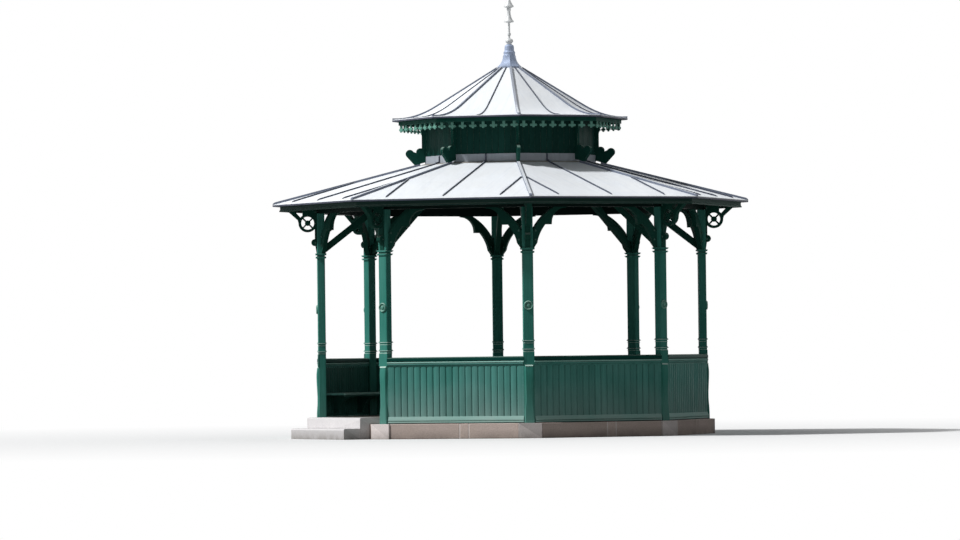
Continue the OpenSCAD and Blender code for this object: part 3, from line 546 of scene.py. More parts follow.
# Painted highlight: the pale paint of the waist beads and console ledges stands for sunlit arrises
ARRIS_HIGHLIGHT = ((206, 238, 228), (226, 248, 241), (136, 190, 176))
# Painted shadow: a near-black paint for the strip under the sill
SILL_SHADOW = ((12, 17, 17), (18, 24, 24), (6, 9, 9))
# Rosettes: paler paint and strong pale rims, partly a painted highlight on the sunlit rim; their
# hollows darken as painted shade
PALE_GREEN = ((96, 160, 144), (140, 190, 176), GREEN[2])
# Painted shade: fascia, frame and soffit are darker copies of the green paint for the shade under
# the eaves
FASCIA = ((39, 69, 63), (57, 87, 81), (22, 40, 37))
FRAME = ((14, 34, 31), (26, 48, 44), (6, 16, 15))

MATERIALS = {
    "posts": painted_timber("post_paint", GREEN, "up", ON_CORNERS, dust=0.25, top=0.9),
    "shaped": painted_timber("shaped_paint", SHADED_GREEN, "up", ON_CORNERS, fade=0.35),
    "scroll": painted_timber("scroll_paint", SCROLL, "up", ON_CORNERS, fade=0.35, edge=0.9),
    "valance": painted_timber("valance_paint", VALANCE, "up", fade=0.35,
                              below=(VALANCE_FOOT, PENDANT_PAINTED_LIGHT)),
    "lantern": painted_timber("lantern_paint", LANTERN, "up", tint=0.12),
    "dado_frame": painted_timber("dado_paint", DADO, "along", fade=0.7, dust=0.45, top=0.8),
    "dado_boards": painted_timber("dado_board_paint", DADO, "up", fade=0.6, tint=0.1, dust=0.55),
    "rail": painted_timber("rail_paint", RAIL, "along", fade=0.4, edge=0.12, top=0.3),
    "weathering": painted_timber("weathering_paint", WEATHERING_HIGHLIGHT, "along", fade=0.7, dust=0.5,
                                 top=0.6),
    "inner_boards": painted_timber("inner_board_shade_paint", INNER_SHADED, "up", fade=0.6, tint=0.1),
    "bead": painted_timber("bead_highlight_paint", BEAD_HIGHLIGHT, "along", fade=0.6, top=0.6),
    "arris": painted_timber("arris_highlight_paint", ARRIS_HIGHLIGHT, "along", fade=0.6, top=0.9),
    "sill_shadow": painted_timber("sill_shadow", SILL_SHADOW, "along", edge=0, top=0),
    "rosette": painted_timber("rosette_paint", PALE_GREEN, "up", ON_CORNERS, edge=0.8, top=0.9),
    "fascia": painted_timber("fascia_paint", FASCIA, "along", fade=0.6),
    "frame": painted_timber("frame_paint", FRAME, "out", fade=0.4, edge=0.15),
    "soffit": painted_timber("soffit_paint", FRAME, "along", fade=0.4, edge=0.1, tint=0.15),
    "floor": bare_timber("floor_wood", (76, 73, 66), (45, 43, 39)),
    # The plinth's strong pale arrises are partly a painted highlight along its sunlit edges
    "plinth": stone("plinth_stone", (202, 185, 176), (210, 192, 185), (160, 144, 137), edge=0.8),
    "piers": stone("pier_stone", (236, 226, 223), (240, 230, 228), (200, 188, 184)),
    "landing": stone("landing_stone", (218, 215, 216), (226, 223, 223), (182, 179, 180), 1.3),
    "roof": sheet_metal("roof_sheet", (249, 252, 255), (243, 248, 254), (218, 226, 240)),
    "roof_seam": sheet_metal("roof_seam", (206, 212, 220), (190, 198, 208), (140, 150, 164), 0.5,
                             side=SEAM_SHADE),
    # Painted shade: the flanks of the hip rolls take the darker side colour
    "hip": sheet_metal("roof_hip", (232, 237, 243), (218, 224, 233), (184, 192, 204),
                       side=(112, 120, 138)),
    # Painted shade: the turned-down eave edge is dark
    "eave_edge": sheet_metal("roof_edge_shade", SEAM_SHADE, (44, 50, 66), (34, 40, 54), 0.5),
    "upstand": sheet_metal("roof_upstand", (160, 167, 176), (150, 156, 164), (118, 124, 132),
                           seam=0.0115, apron=(146, 142, 136)),
    "zinc": turned_metal("finial_zinc", (166, 180, 206), (146, 160, 184), (84, 96, 116), 0.4),
    "knob": turned_metal("finial_knob", (224, 226, 226), (198, 202, 204), (126, 132, 138), 0.35),
    "bolt": turned_metal("bolt_paint", (40, 84, 74), (60, 100, 88), (20, 44, 40), 0.45),
}

# Looks of the frame's own nodes; posts and dados go by their names, the rest is frame timber
NODE_LOOKS = {
    "plinth_piers": "piers", "floor_joists": "floor", "entrance_landing": "landing",
    "entrance_step": "landing", "post_rosettes": "shaped", "handrails": "rail",
    "bench_brackets": "inner_boards", "eave_beams": "soffit", "side_braces": "shaped",
    "roof_struts": "shaped", "eave_brackets": "shaped", "hip_rolls": "hip",
    "fascia": "fascia", "lantern_flashing": "upstand", "lantern_brackets": "scroll",
    "valance": "valance", "upper_hip_rolls": "hip", "finial_collar": "zinc",
}


def dress_frame():
    for name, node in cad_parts.items():
        family = "posts" if name.startswith("post_") else \
            "dado_frame" if name.startswith("dado_") else "frame"
        node.data.materials.clear()
        node.data.materials.append(MATERIALS[NODE_LOOKS.get(name, family)])


# Boards of a dado: pitch, thickness, and the distance of their face from its middle
BOARD_PITCH, BOARD_T, BOARD_OUT = 0.113, 0.016, 0.0365
BOARD_BASE = BOARD_OUT - BOARD_T
BOARD_JOINT, BOARD_SLIT = 0.012, 0.0012
PANEL_Z = (PLINTH_TOP + 0.112, PLINTH_TOP + 0.958)


def board_section(width):
    """Section of a slightly crowned board with a wide V along each edge, as (along, out)."""
    half, inner = width / 2, width / 2 - BOARD_JOINT
    return [(along, share * BOARD_T) for along, share in (
        (-half, 0), (half, 0), (half, 0.12), (inner, 0.8), (half * 0.5, 0.95), (0, 1),
        (-half * 0.5, 0.95), (-inner, 0.8), (-half, 0.12))]


def dado_boards():
    """Vertical boards on both faces of the seven dado panels, from post to post; the inside ones
    take a darker paint as painted shade.
    """
    for name, look, face in (("dado_boards", "dado_boards", 1),
                             ("dado_boards_inside", "inner_boards", -1)):
        shape = Shape()
        width = 2 * (DADO_HALF + face * BOARD_BASE * TAN_HALF - POST_GAP)
        count = round(width / BOARD_PITCH)
        pitch = width / count
        section = board_section(pitch - BOARD_SLIT)[::-face]
        for k in CLOSED_SIDES:
            for i in range(count):
                mid = (i + 0.5 - count / 2) * pitch
                loop = [(DADO_A + face * (BOARD_BASE + out), mid + along)
                        for along, out in section]
                shape.upright(k, loop, *PANEL_Z)
        make(shape, name, look, smooth=24)


# Sections of the mouldings on a dado, as (distance out, height)
CAP_MOULDING = [(0.034, 1.212), (0.052, 1.216), (0.057, 1.226), (0.057, 1.243), (0.034, 1.243)]
WEATHERING = [(0.034, 0.296), (0.060, 0.296), (0.060, 0.312), (0.039, 0.368), (0.034, 0.368)]
SILL_FACE = [(0.034, 0.263), (0.060, 0.263), (0.060, 0.282), (0.054, 0.288), (0.034, 0.288)]
# A moulding is as long as a face at this distance out
MOULDING_OUT = 0.036


def dado_mouldings():
    """On both faces a cap moulding above the boards, a weathering and a face at the sill; the
    weathering and the sill face are pale as a painted highlight.
    """
    caps, slopes = Shape(), Shape()
    for k in CLOSED_SIDES:
        for face in (-1, 1):
            half = DADO_HALF + face * MOULDING_OUT * TAN_HALF - POST_GAP
            for shape, section in ((caps, CAP_MOULDING), (slopes, WEATHERING),
                                   (slopes, SILL_FACE)):
                placed = [(DADO_A + face * out, z) for out, z in section[::-face]]
                shape.bar(on_side, k, placed, half)
    make(caps, "cap_mouldings", "dado_frame", bevel=0.002)
    make(slopes, "weatherings", "weathering", bevel=0.002)


FLOOR_BOARD_W, FLOOR_SLIT = 0.118, 0.004


def floor_boards():
    """The deck as separate boards, cut to the octagon and clear of the posts."""
    low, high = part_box("floor_deck")
    edge = high[0]
    shape = Shape()
    x = -edge
    while x < edge:
        right = min(x + FLOOR_BOARD_W - FLOOR_SLIT / 2, edge)
        loop = rectangle(x + FLOOR_SLIT / 2, right, low[1], high[1])
        for k in range(SIDES):
            for turns, limit in ((k, edge), (k + 0.5, POST_IN - POST_GAP)):
                loop = clipped(loop, math.cos(turns * TURN), math.sin(turns * TURN), limit)
        if len(loop) > 2:
            shape.prism(*([(px, py, z) for px, py in loop] for z in (low[2], high[2])))
        x += FLOOR_BOARD_W
    make(shape, "floor_boards", "floor", bevel=0.002, replaces=["floor_deck"])


# The seat: thickness of its boards, slit between them, front and back edge
SEAT_T, SEAT_SLIT = 0.036, 0.006
SEAT_FRONT, SEAT_BACK = DADO_A - 0.4123, DADO_A - BOARD_OUT - 0.004
# The nosing in front of the boards, and the lip below it that stands back
NOSING_DROP, NOSING_H, NOSING_T = 0.008, 0.028, 0.03
LIP_FOOT, LIP_BACK = 0.062, 0.016


def bench_boards():
    """Each seat as three boards with a nosing, pale as a painted highlight, and a lip set back
    below it, dark as painted shade.
    """
    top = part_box("bench_seats")[1][2]
    width = (SEAT_BACK - SEAT_FRONT) / 3
    starts = [SEAT_FRONT + i * width for i in range(3)]
    nosing_end = SEAT_FRONT + NOSING_T
    nosing_top, nosing_foot = top - NOSING_DROP, top - NOSING_DROP - NOSING_H
    seats, nosings, lips = Shape(), Shape(), Shape()
    parts = [(seats, max(start, nosing_end + HAIR / 2), start + width - SEAT_SLIT,
              top - SEAT_T, top) for start in starts]
    parts.append((nosings, SEAT_FRONT, nosing_end, nosing_foot, nosing_top))
    parts.append((lips, SEAT_FRONT + LIP_BACK, nosing_end, top - LIP_FOOT, nosing_foot))
    for k in CLOSED_SIDES:
        for shape, near, far, foot, head in parts:
            loop = in_wedge(rectangle(near, far, -OVERLONG, OVERLONG))
            for end in (-1, 1):
                loop = clipped(loop, COS_HALF, end * SIN_HALF, POST_IN - POST_GAP)
            shape.upright(k, loop, foot, head)
    make(seats, "bench_boards", "dado_frame", bevel=0.004,
         replaces=["bench_seats"])
    make(nosings, "bench_nosings", "weathering", bevel=0.004)
    make(lips, "bench_lips", "inner_boards", bevel=0.002)


# Joints between stones, and how far the mortar lies behind and below their faces
STONE_JOINT, MORTAR_BACK, MORTAR_DROP = 0.010, 0.003, 0.004
# Depth of a stone, and how far it is drawn past the pier that it is then cut to
STONE_DEPTH, STONE_OVERRUN = 0.13, 0.02
# Ends of the narrow closing stone between the two long ones of a side
NARROW_STONE = (0.10, 0.26)


def plinth_stones():
    """The plinth wall as long dressed blocks on a recessed bed of mortar."""
    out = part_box("plinth_wall")[1][0]
    inside = out - PLINTH_WALL_T
    half = out * TAN_HALF - PIER_CLEAR / COS_HALF + STONE_OVERRUN
    cuts = [-half, *NARROW_STONE, half]
    bed = rectangle(inside + MORTAR_BACK, out - MORTAR_BACK, -OVERLONG, OVERLONG)
    blocks, mortar = Shape(), Shape()
    for k in range(SIDES):
        for t0, t1 in zip(cuts, cuts[1:]):
            for a0, a1 in ((out - STONE_DEPTH, out), (inside, inside + STONE_DEPTH)):
                block = rectangle(a0, a1, t0 + STONE_JOINT / 2, t1 - STONE_JOINT / 2)
                blocks.upright(k, in_wedge(block, PIER_CLEAR), 0, PLINTH_TOP)
        mortar.upright(k, in_wedge(bed, PIER_CLEAR), 0, PLINTH_TOP - MORTAR_DROP)
    make(blocks, "plinth_blocks", "plinth", bevel=0.009,
         replaces=["plinth_wall"])
    make(mortar, "plinth_mortar", "piers")


# Thickness of a sheet, and rows that it is drawn with up either slope
SHEET_T, LOWER_ROWS, UPPER_ROWS = 0.003, 6, 22
# The first row after a seam meets the hip
PAST_HIP = 0.004
# The boards under a sheet: their gap from its top, from each other and from the eave
UNDER_SHEET, ROOF_SLIT, BOARDS_BACK = 0.004, 0.003, 0.006
LOWER_BOARD_W, UPPER_BOARD_W = 0.14, 0.11


def roof_section(k, a, left, right, top, foot):
    """Section of a sheet or board of side k, at distance a from the axis."""
    return [on_side(k, a, t, z) for t, z in rectangle(left, right, top, foot)]


def roof_pans(shape, k, edges, places, height):
    """Sheets between the seams of one side, drawn at the given distances from the axis."""
    for t0, t1 in zip(edges, edges[1:]):
        rows = []
        for a in places:
            limit = a * TAN_HALF - HAIR
            left, right = max(t0, -limit), min(t1, limit)
            if right - left >= 2 * HAIR:
                rows.append(roof_section(k, a, left, right, height(a), height(a) - SHEET_T))
        if len(rows) > 1:
            shape.strip(rows)


def roof_places(start, end, steps, edges):
    """Distances from the axis for the rows of a sheet, with one where each seam meets the hip."""
    places = [start + (end - start) * i / steps for i in range(steps + 1)]
    meets = [abs(t) / TAN_HALF for t in edges]
    return sorted(places + [a + PAST_HIP for a in meets if start < a < end])


# A seam's section as (sideways, up), and how flat and over what length its foot is beaten
SEAM_SECTION = [(-0.008, 0), (0.008, 0), (0.004, 0.004), (0.003, 0.016), (0.006, 0.018),
                (0.006, 0.025), (-0.005, 0.025), (-0.005, 0.018), (-0.003, 0.016),
                (-0.004, 0.004)]
FLAT_SHARE, FLATTEN_LENGTH = 0.35, 0.05
# Where a seam stops: above either eave, and short of the hip
LOWER_SEAM_STOP, UPPER_SEAM_STOP, SEAM_FROM_HIP = 0.1, 0.004, 0.045
UPPER_SEAM_SCALE, LAST_ROW = 0.8, UPPER_A - 0.01


def standing_seam(shape, k, t, places, height, scale=1.0):
    """A folded seam up the slope of side k; its lower end is beaten flat."""
    rows = []
    for a in places:
        squeeze = min(1, FLAT_SHARE + (places[-1] - a) / FLATTEN_LENGTH) * scale
        rows.append([on_side(k, a, t + side, height(a) + up * squeeze)
                     for side, up in SEAM_SECTION])
    shape.strip(rows)


def boarding(shape, k, start, end, width, height):
    """Boards under the sheet of one side, parallel to the eave."""
    count = round((end - start) / width)
    width = (end - start) / count
    for i in range(count):
        rows = []
        for a in (start + i * width + ROOF_SLIT / 2, start + (i + 1) * width - ROOF_SLIT / 2):
            half = a * TAN_HALF - HAIR
            rows.append(roof_section(k, a, -half, half, height(a) - UNDER_SHEET,
                                     height(a) - ROOF_T))
        shape.strip(rows)


ROLL_R = 0.007


def eave_roll(a, z):
    """Profile of the rolled edge of the sheet along an eave."""
    return [(a - 0.6 * ROLL_R + x, z - 0.55 * ROLL_R + y) for x, y in circle(ROLL_R, 12)]


def lower_roof():
    """Sheets with three seams a side, over boards that show from below."""
    edges = [-OVERLONG, -SEAM_OFFSET, 0, SEAM_OFFSET, OVERLONG]
    places = roof_places(LANTERN_IN, EAVE_A, LOWER_ROWS, edges)
    foot = EAVE_A - LOWER_SEAM_STOP
    sheets, seams, boards = Shape(), Shape(), Shape()
    for k in range(SIDES):
        roof_pans(sheets, k, edges, places, roof_z)
        for t in edges[1:-1]:
            head = max(APRON_END, (abs(t) + SEAM_FROM_HIP) / TAN_HALF)
            rows = [head, (head + foot) / 2, foot - FLATTEN_LENGTH,
                    foot - 0.4 * FLATTEN_LENGTH, foot]
            standing_seam(seams, k, t, rows, roof_z)
        boarding(boards, k, LANTERN_IN, EAVE_A - BOARDS_BACK, LOWER_BOARD_W, roof_z)
    sheets.octagon(eave_roll(EAVE_A, EAVE_Z))
    make(sheets, "lower_roof_sheets", "roof", replaces=["lower_roof"])
    make(seams, "lower_roof_seams", "roof_seam")
    make(boards, "lower_roof_boards", "soffit", bevel=0.002)


def upper_roof():
    """Sheets with one seam down the middle of each side, over boards."""
    edges = [-OVERLONG, 0, OVERLONG]
    places = roof_places(UPPER_START, UPPER_A, UPPER_ROWS, edges)
    rows = [COLLAR_A, *(a for a in places if COLLAR_A < a < LAST_ROW), UPPER_A - UPPER_SEAM_STOP]
    sheets, seams, boards = Shape(), Shape(), Shape()
    for k in range(SIDES):
        roof_pans(sheets, k, edges, places, upper_z)
        standing_seam(seams, k, 0, rows, upper_z, UPPER_SEAM_SCALE)
        boarding(boards, k, UPPER_START, UPPER_A - BOARDS_BACK, UPPER_BOARD_W, upper_z)
    sheets.octagon(eave_roll(UPPER_A, UPPER_Z))
    make(sheets, "upper_roof_sheets", "roof", smooth=25, replaces=["upper_roof"])
    make(seams, "upper_roof_seams", "roof_seam")
    make(boards, "upper_roof_boards", "soffit", bevel=0.002)


# Boards to a side of the lantern, half the slit between two, and the size of their V
LANTERN_BOARDS, LANTERN_SLIT, LANTERN_V = 10, 0.0006, 0.004
LANTERN_END_GAP = 0.0003


def lantern_boards():
    """The lantern's walls as upright boards with V joints."""
    shape = Shape()
    half = LANTERN_A * TAN_HALF
    pitch = 2 * half / LANTERN_BOARDS
    edge = LANTERN_A - LANTERN_V
    for k in range(SIDES):
        for i in range(LANTERN_BOARDS):
            t0, t1 = i * pitch - half + LANTERN_SLIT, (i + 1) * pitch - half - LANTERN_SLIT
            loop = in_wedge([(LANTERN_IN, t0), (edge, t0), (LANTERN_A, t0 + LANTERN_V),
                             (LANTERN_A, t1 - LANTERN_V), (edge, t1), (LANTERN_IN, t1)])
            low = [on_side(k, a, t, roof_z(a) + LANTERN_END_GAP) for a, t in loop]
            high = [on_side(k, a, t, upper_z(a) - ROOF_T - LANTERN_END_GAP) for a, t in loop]
            shape.prism(low, high)
    make(shape, "lantern_boards", "lantern", replaces=["lantern_walls"])


# The turned edge of a sheet: half its thickness, its head below the sheet and its hang
EDGE_HALF, EDGE_TOP, EDGE_HANG = 0.003, 0.008, 0.004


def eave_edges():
    """The sheet turned down over the end of the boarding, along both eaves, in a dark paint that
    stands for the shade under the eave.
    """
    shape = Shape()
    for a, z in ((EAVE_A, EAVE_Z), (UPPER_A, UPPER_Z)):
        foot, head = z - ROOF_T - EDGE_HANG, z - EDGE_TOP
        shape.octagon([(a + EDGE_HALF, foot), (a + EDGE_HALF, head),
                       (a - EDGE_HALF, head), (a - EDGE_HALF, foot)])
    make(shape, "eave_edges", "eave_edge", bevel=0.001)


# Radii of the spire's members, then its outline above the knob with shares of its height
KNOB_R, RING_R, STEM_R, SKIRT_R, CAP_R = 0.068, 0.030, 0.018, 0.082, 0.035
SPIRE = [
    (STEM_R, 0.11), (STEM_R, 0.145), (0.8 * RING_R, 0.15), (RING_R, 0.157), (RING_R, 0.19),
    (0.8 * RING_R, 0.198), (STEM_R, 0.205), (STEM_R, 0.375), (SKIRT_R, 0.388),
    (SKIRT_R, 0.405), (0.75 * SKIRT_R, 0.43), (0.58 * SKIRT_R, 0.465), (0.45 * SKIRT_R, 0.5),
    (0.36 * SKIRT_R, 0.537), (0.8 * CAP_R, 0.59), (CAP_R, 0.6), (CAP_R, 0.64),
    (SKIRT_R, 0.655), (SKIRT_R, 0.675), (0.78 * SKIRT_R, 0.7), (0.6 * SKIRT_R, 0.73),
    (0.42 * SKIRT_R, 0.76), (0.3 * SKIRT_R, 0.79), (1.7 * STEM_R, 0.815),
    (1.8 * STEM_R, 0.83), (1.7 * STEM_R, 0.845), (0.8 * STEM_R, 0.87), (0.002, 1),
]


def turned_finely(node, name, look, profile, steps):
    """A turned piece in place of a node, from a profile of (radius, height above its foot)."""
    shape = Shape()
    shape.lathe(profile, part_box(node)[0][2] * UP, UP, steps)
    make(shape, name, look, smooth=32, replaces=[node])


def finial():
    """Bell and spire turned finely, on the same members as the solids."""
    low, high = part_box("finial_bell")
    r, h = high[0], high[2] - low[2]
    bell = [(r, 0), (r, 0.05 * h), (0.95 * r, 0.09 * h)]
    bell += [(1.28 * r - x, 0.5 * h - y) for x, y in arc(0.47 * r, 52, 0, 8)]
    bell += [(0.48 * r + x, 0.78 * h + y) for x, y in arc(0.3 * r, 0, 55, 6)]
    bell.append((0.38 * r, h))
    turned_finely("finial_bell", "finial_bell_turned", "zinc", bell, 72)

    low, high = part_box("finial_spire")
    top = high[2] - low[2]
    round_r = 0.04 * top
    spire = [(0.6 * KNOB_R, 0)]
    spire += [(KNOB_R - round_r + x, 0.055 * top + y) for x, y in arc(round_r, -70, 80, 12)]
    spire += [(radius, share * top) for radius, share in SPIRE]
    turned_finely("finial_spire", "finial_spire_turned", "knob", spire, 64)


# Height, distance that it stands out from the post, and radius of each bead round a post
WAIST_BEADS = [(1.600, 0.0115, 0.0075), (1.562, 0.0025, 0.0045), (1.461, 0.0115, 0.0075),
               (1.426, 0.0025, 0.0045)]
NECK_BEADS = [(3.116, 0.0275, 0.0065), (3.062, 0.0225, 0.0065)]
BEAD_STEPS = 8


def round_post(shape, k, z, lip, radius):
    """A round bead mitred round the four faces of a post."""
    section = circle(radius, BEAD_STEPS)
    shape.ring([[on_corner(k, POST_CIRCLE + sr * (POST_D / 2 + lip + out),
                           st * (POST_W / 2 + lip + out), z + up) for out, up in section]
                for sr, st in ((1, -1), (1, 1), (-1, 1), (-1, -1))])


def post_beads():
    """Pale beads on the waist bands of every post, painted as highlights, and green ones on the
    neck bands.
    """
    for name, look, beads in (("post_beads", "arris", WAIST_BEADS),
                              ("neck_beads", "posts", NECK_BEADS)):
        shape = Shape()
        for k in range(SIDES):
            for z, lip, radius in beads:
                round_post(shape, k, z, lip - radius, radius)
        make(shape, name, look, smooth=50)


# Height, distance out from the middle of the dado, and radius of the bead along it
RAIL_BEAD = (1.259, 0.056, 0.011)


def rail_beads():
    """A pale bead under each handrail, outside and inside, painted as a highlight."""
    z, out, radius = RAIL_BEAD
    shape = Shape()
    for k in CLOSED_SIDES:
        for face in (-1, 1):
            middle = DADO_A + face * (out - 0.4 * radius)
            section = [(middle + x, z + y) for x, y in circle(radius, BEAD_STEPS)]
            shape.bar(on_side, k, section, DADO_HALF + face * out * TAN_HALF - POST_GAP)
    make(shape, "rail_beads", "bead", smooth=50)


# Height, distance that it stands out and width of a console, from foot to top
CONSOLE = [(0.25, 0.034, 0.172), (0.31, 0.033, 0.168), (0.37, 0.032, 0.163),
           (0.43, 0.030, 0.160), (0.48, 0.027, 0.155), (0.53, 0.023, 0.147),
           (0.58, 0.020, 0.139), (0.64, 0.019, 0.136), (0.70, 0.019, 0.135),
           (0.78, 0.022, 0.137), (0.86, 0.026, 0.139), (0.94, 0.030, 0.141),
           (1.02, 0.032, 0.144), (1.08, 0.031, 0.148), (1.13, 0.026, 0.150),
           (1.18, 0.020, 0.150)]
CONSOLE_CUT = 0.017
LEDGE_Z, LEDGE_H, LEDGE_EDGE = 1.180, 0.024, 0.003
LEDGE_W, LEDGE_T = 0.128, 0.024
CASING_TOP, CASING_T, CASING_LAP, CASING_SLOPE = 1.420, 0.007, 0.003, 0.006
LEDGE_LAP = 0.002
# Sections of the ledge and of the casing above it, as (distance out, height)
LEDGE_TOP = LEDGE_Z + LEDGE_H
LEDGE = [(-SINK, LEDGE_Z), (LEDGE_T, LEDGE_Z), (LEDGE_T, LEDGE_Z + LEDGE_EDGE),
         (CASING_T + LEDGE_LAP, LEDGE_TOP), (-SINK, LEDGE_TOP)]
CASING = [(-SINK, LEDGE_TOP), (CASING_T, LEDGE_TOP), (CASING_T, CASING_TOP - CASING_SLOPE),
          (0, CASING_TOP), (-SINK, CASING_TOP)]


def on_post(shape, k, section, half):
    """A section of (out, z) points on the outer face of a post, drawn out to both sides."""
    shape.bar(on_corner, k, [(POST_OUT + out, z) for out, z in section[::-1]], half)


def console_section(out, width):
    """The plan of a console with its two outer arrises cut off."""
    half, inner = width / 2, width / 2 - CONSOLE_CUT
    return [(-SINK, -half), (out - CONSOLE_CUT, -half), (out, -inner), (out, inner),
            (out - CONSOLE_CUT, half), (-SINK, half)]


def consoles():
    """Shaped consoles on the feet of the posts, with a pale ledge painted as a highlight and a
    plain casing above.
    """
    shafts, ledges = Shape(), Shape()
    for k in range(SIDES):
        shafts.strip([[on_corner(k, POST_OUT + a, t, z) for a, t in console_section(out, width)]
                      for z, out, width in CONSOLE])
        on_post(shafts, k, CASING, POST_W / 2 + CASING_LAP)
        on_post(ledges, k, LEDGE, LEDGE_W / 2)
    make(shafts, "consoles_shaped", "posts", bevel=0.0015, smooth=30,
         replaces=["post_consoles"])
    make(ledges, "console_ledges", "arris", bevel=0.001)


# Painted shadow under the sill: height and thickness of the dark strip
SHADOW_STRIP_H, SHADOW_STRIP_T = 0.013, 0.004


def sill_shadow_strip():
    """A dark strip between the sill and the stone, outside and inside, painted as the shadow under
    the sill.
    """
    near, far = SILL_T / 2, SILL_T / 2 + SHADOW_STRIP_T
    shape = Shape()
    for k in CLOSED_SIDES:
        for face in (-1, 1):
            places = sorted(DADO_A + face * out for out in (near, far))
            half = DADO_HALF + face * near * TAN_HALF - HAIR
            shape.upright(k, rectangle(*places, -half, half), PLINTH_TOP, PLINTH_TOP + SHADOW_STRIP_H)
    make(shape, "sill_shadow_strip", "sill_shadow")


# Outline of a rosette as shares of its radius and of its depth
ROSETTE = [(1, 0), (1, 0.3), (0.95, 0.75), (0.87, 1), (0.78, 0.95), (0.70, 0.6), (0.64, 0.2),
           (0.52, 0.1), (0.44, 0.2), (0.40, 0.5), (0.33, 0.75), (0.2, 0.92), (0.01, 1)]
ROSETTE_DEPTH, ROSETTE_STEPS = 0.024, 40


def rosettes():
    """Turned rosettes on the posts: a rounded rim, a deep hollow and a boss."""
    low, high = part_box("post_rosettes")
    radius, z = (high[2] - low[2]) / 2, (low[2] + high[2]) / 2
    profile = [(r * radius, depth * ROSETTE_DEPTH) for r, depth in ROSETTE]
    shape = Shape()
    for k in range(SIDES):
        shape.lathe(profile, on_corner(k, POST_OUT, 0, z), on_corner(k, 1, 0, 0), ROSETTE_STEPS)
    make(shape, "rosettes_turned", "rosette", smooth=40,
         replaces=["post_rosettes"])


# Washer and domed head of a bolt, as (radius, height)
BOLT = [(0.019, 0), (0.019, 0.003), (0.014, 0.004), (0.0135, 0.008), (0.011, 0.012),
        (0.006, 0.0145), (0.0005, 0.0155)]
BOLT_STEPS = 12
# Bolts of a brace: shares of the height from neck to beam, distance in from the post
BRACE_SHARES, BRACE_IN = (0.2, 0.42), 0.035
# Bolts of a bracket: heights above the neck and above the foot of the beam, distance out
ABOVE_NECK, ABOVE_BEAM, BRACKET_OUT = 0.18, 0.03, 0.02
# From the middle of the timber to the foot of the bolt
BRACE_FACE, BRACKET_FACE = 0.045, 0.042


def bolts():
    """Coach bolts through braces and brackets, on both faces."""
    neck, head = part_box("side_braces")[0][2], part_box("eave_beams")[0][2]
    shape = Shape()
    for k in range(SIDES):
        places = [(on_side(k, SIDE_A + face * BRACE_FACE, end * (CLEAR_HALF - BRACE_IN),
                           neck + share * (head - neck)), on_side(k, face, 0, 0))
                  for end in (-1, 1) for share in BRACE_SHARES for face in (-1, 1)]
        places += [(on_corner(k, POST_OUT + BRACKET_OUT, face * BRACKET_FACE, z),
                    on_corner(k, 0, face, 0))
                   for z in (neck + ABOVE_NECK, head + ABOVE_BEAM) for face in (-1, 1)]
        for place, axis in places:
            shape.lathe(BOLT, place, axis, BOLT_STEPS)
    make(shape, "bolts", "bolt", smooth=40)


def turned(first, second, angle):
    """Two directions turned in their own plane, the first towards the second."""
    c, s = math.cos(math.radians(angle)), math.sin(math.radians(angle))
    return c * first + s * second, c * second - s * first


def make_camera():
    """Aims the camera at the axis of the building, then turns it by yaw, pitch and roll."""
    azimuth = math.radians(CAMERA_AZIMUTH)
    ahead = Vector((-math.sin(azimuth), math.cos(azimuth), 0))
    right = Vector((math.cos(azimuth), math.sin(azimuth), 0))
    place = CAMERA_HEIGHT * UP - CAMERA_DISTANCE * ahead
    ahead, right = turned(ahead, right, CAMERA_YAW)
    ahead, up = turned(ahead, UP, CAMERA_PITCH)
    right, up = turned(right, up, CAMERA_ROLL)
    data = bpy.data.cameras.new("camera")
    data.lens, data.sensor_width = LENS_MM, SENSOR_MM
    data.clip_start, data.clip_end = CLIP_START, CLIP_END
    camera = bpy.data.objects.new("camera", data)
    turn = Matrix((right, up, -ahead)).transposed()
    camera.matrix_world = Matrix.Translation(place) @ turn.to_4x4()
    bpy.context.scene.collection.objects.link(camera)
    bpy.context.scene.camera = camera


def seen_or_mirrored(tree):
    """1 for rays that show the background: from the camera, in gloss or through glass."""
    path = tree.nodes.new("ShaderNodeLightPath")
    total = path.outputs["Is Camera Ray"]
    for name in ("Is Glossy Ray", "Is Transmission Ray"):
        most = tree.nodes.new("ShaderNodeMath")
        most.operation = "MAXIMUM"
        tree.links.new(total, most.inputs[0])
        tree.links.new(path.outputs[name], most.inputs[1])
        total = most.outputs[0]
    return total


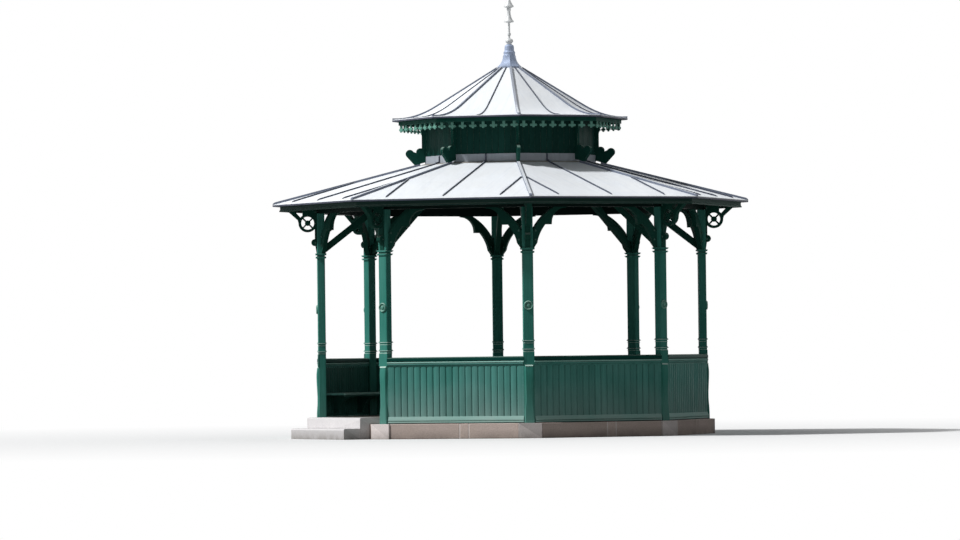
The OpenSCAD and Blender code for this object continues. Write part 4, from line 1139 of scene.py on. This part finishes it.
def make_lights():
    sun = bpy.data.lights.new("key", "SUN")
    sun.energy = KEY_ENERGY
    sun.angle = math.radians(KEY_SOFTNESS)
    lamp = bpy.data.objects.new("key", sun)
    azimuth = math.radians(CAMERA_AZIMUTH + KEY_FROM_CAMERA)
    height = math.radians(KEY_HEIGHT)
    back = Vector((math.sin(azimuth) * math.cos(height),
                   -math.cos(azimuth) * math.cos(height), math.sin(height)))
    lamp.rotation_mode = "QUATERNION"
    lamp.rotation_quaternion = back.to_track_quat("Z", "Y")
    bpy.context.scene.collection.objects.link(lamp)
    world = bpy.data.worlds.new("world")
    bpy.context.scene.world = world
    world.use_nodes = True
    nodes, links = world.node_tree.nodes, world.node_tree.links
    light = nodes["Background"]
    light.inputs["Color"].default_value = SKY_COLOR
    light.inputs["Strength"].default_value = SKY_STRENGTH
    white = nodes.new("ShaderNodeBackground")
    white.inputs["Color"].default_value = WHITE
    mix = nodes.new("ShaderNodeMixShader")
    links.new(seen_or_mirrored(world.node_tree), mix.inputs["Fac"])
    links.new(light.outputs[0], mix.inputs[1])
    links.new(white.outputs[0], mix.inputs[2])
    links.new(mix.outputs[0], nodes["World Output"].inputs["Surface"])


def make_floor():
    """A pale floor that fades to the white of the background away from the object."""
    bpy.ops.mesh.primitive_circle_add(vertices=96, radius=FLOOR_RADIUS, fill_type="NGON")
    floor = bpy.context.object
    floor.name = "floor"
    p = Paint("floor_plain")
    p.put(FLOOR_ROUGHNESS, p.shader.inputs["Roughness"])
    place = p.node("TexCoord").outputs["Object"]
    distance = p.node("VectorMath", {"operation": "LENGTH"}, i0=place).outputs["Value"]
    fade = p.times(p.ramp(distance, *FLOOR_FADE), seen_or_mirrored(p.tree))
    seen = p.node("LightPath").outputs["Is Camera Ray"]
    p.put(p.mix(seen, FLOOR_BOUNCED, FLOOR_SEEN), p.shader.inputs["Base Color"])
    white = p.node("Emission", Color=WHITE, Strength=1.0)
    mix = p.node("MixShader", Fac=fade, i1=p.shader.outputs[0], i2=white.outputs[0])
    p.tree.links.new(mix.outputs[0], p.tree.nodes["Material Output"].inputs["Surface"])
    floor.data.materials.append(p.material)


dress_frame()
dado_boards()
dado_mouldings()
floor_boards()
bench_boards()
plinth_stones()
lower_roof()
upper_roof()
lantern_boards()
eave_edges()
finial()
post_beads()
rail_beads()
consoles()
sill_shadow_strip()
rosettes()
bolts()
make_camera()
make_lights()
make_floor()

bpy.context.scene.view_settings.view_transform = "Standard"
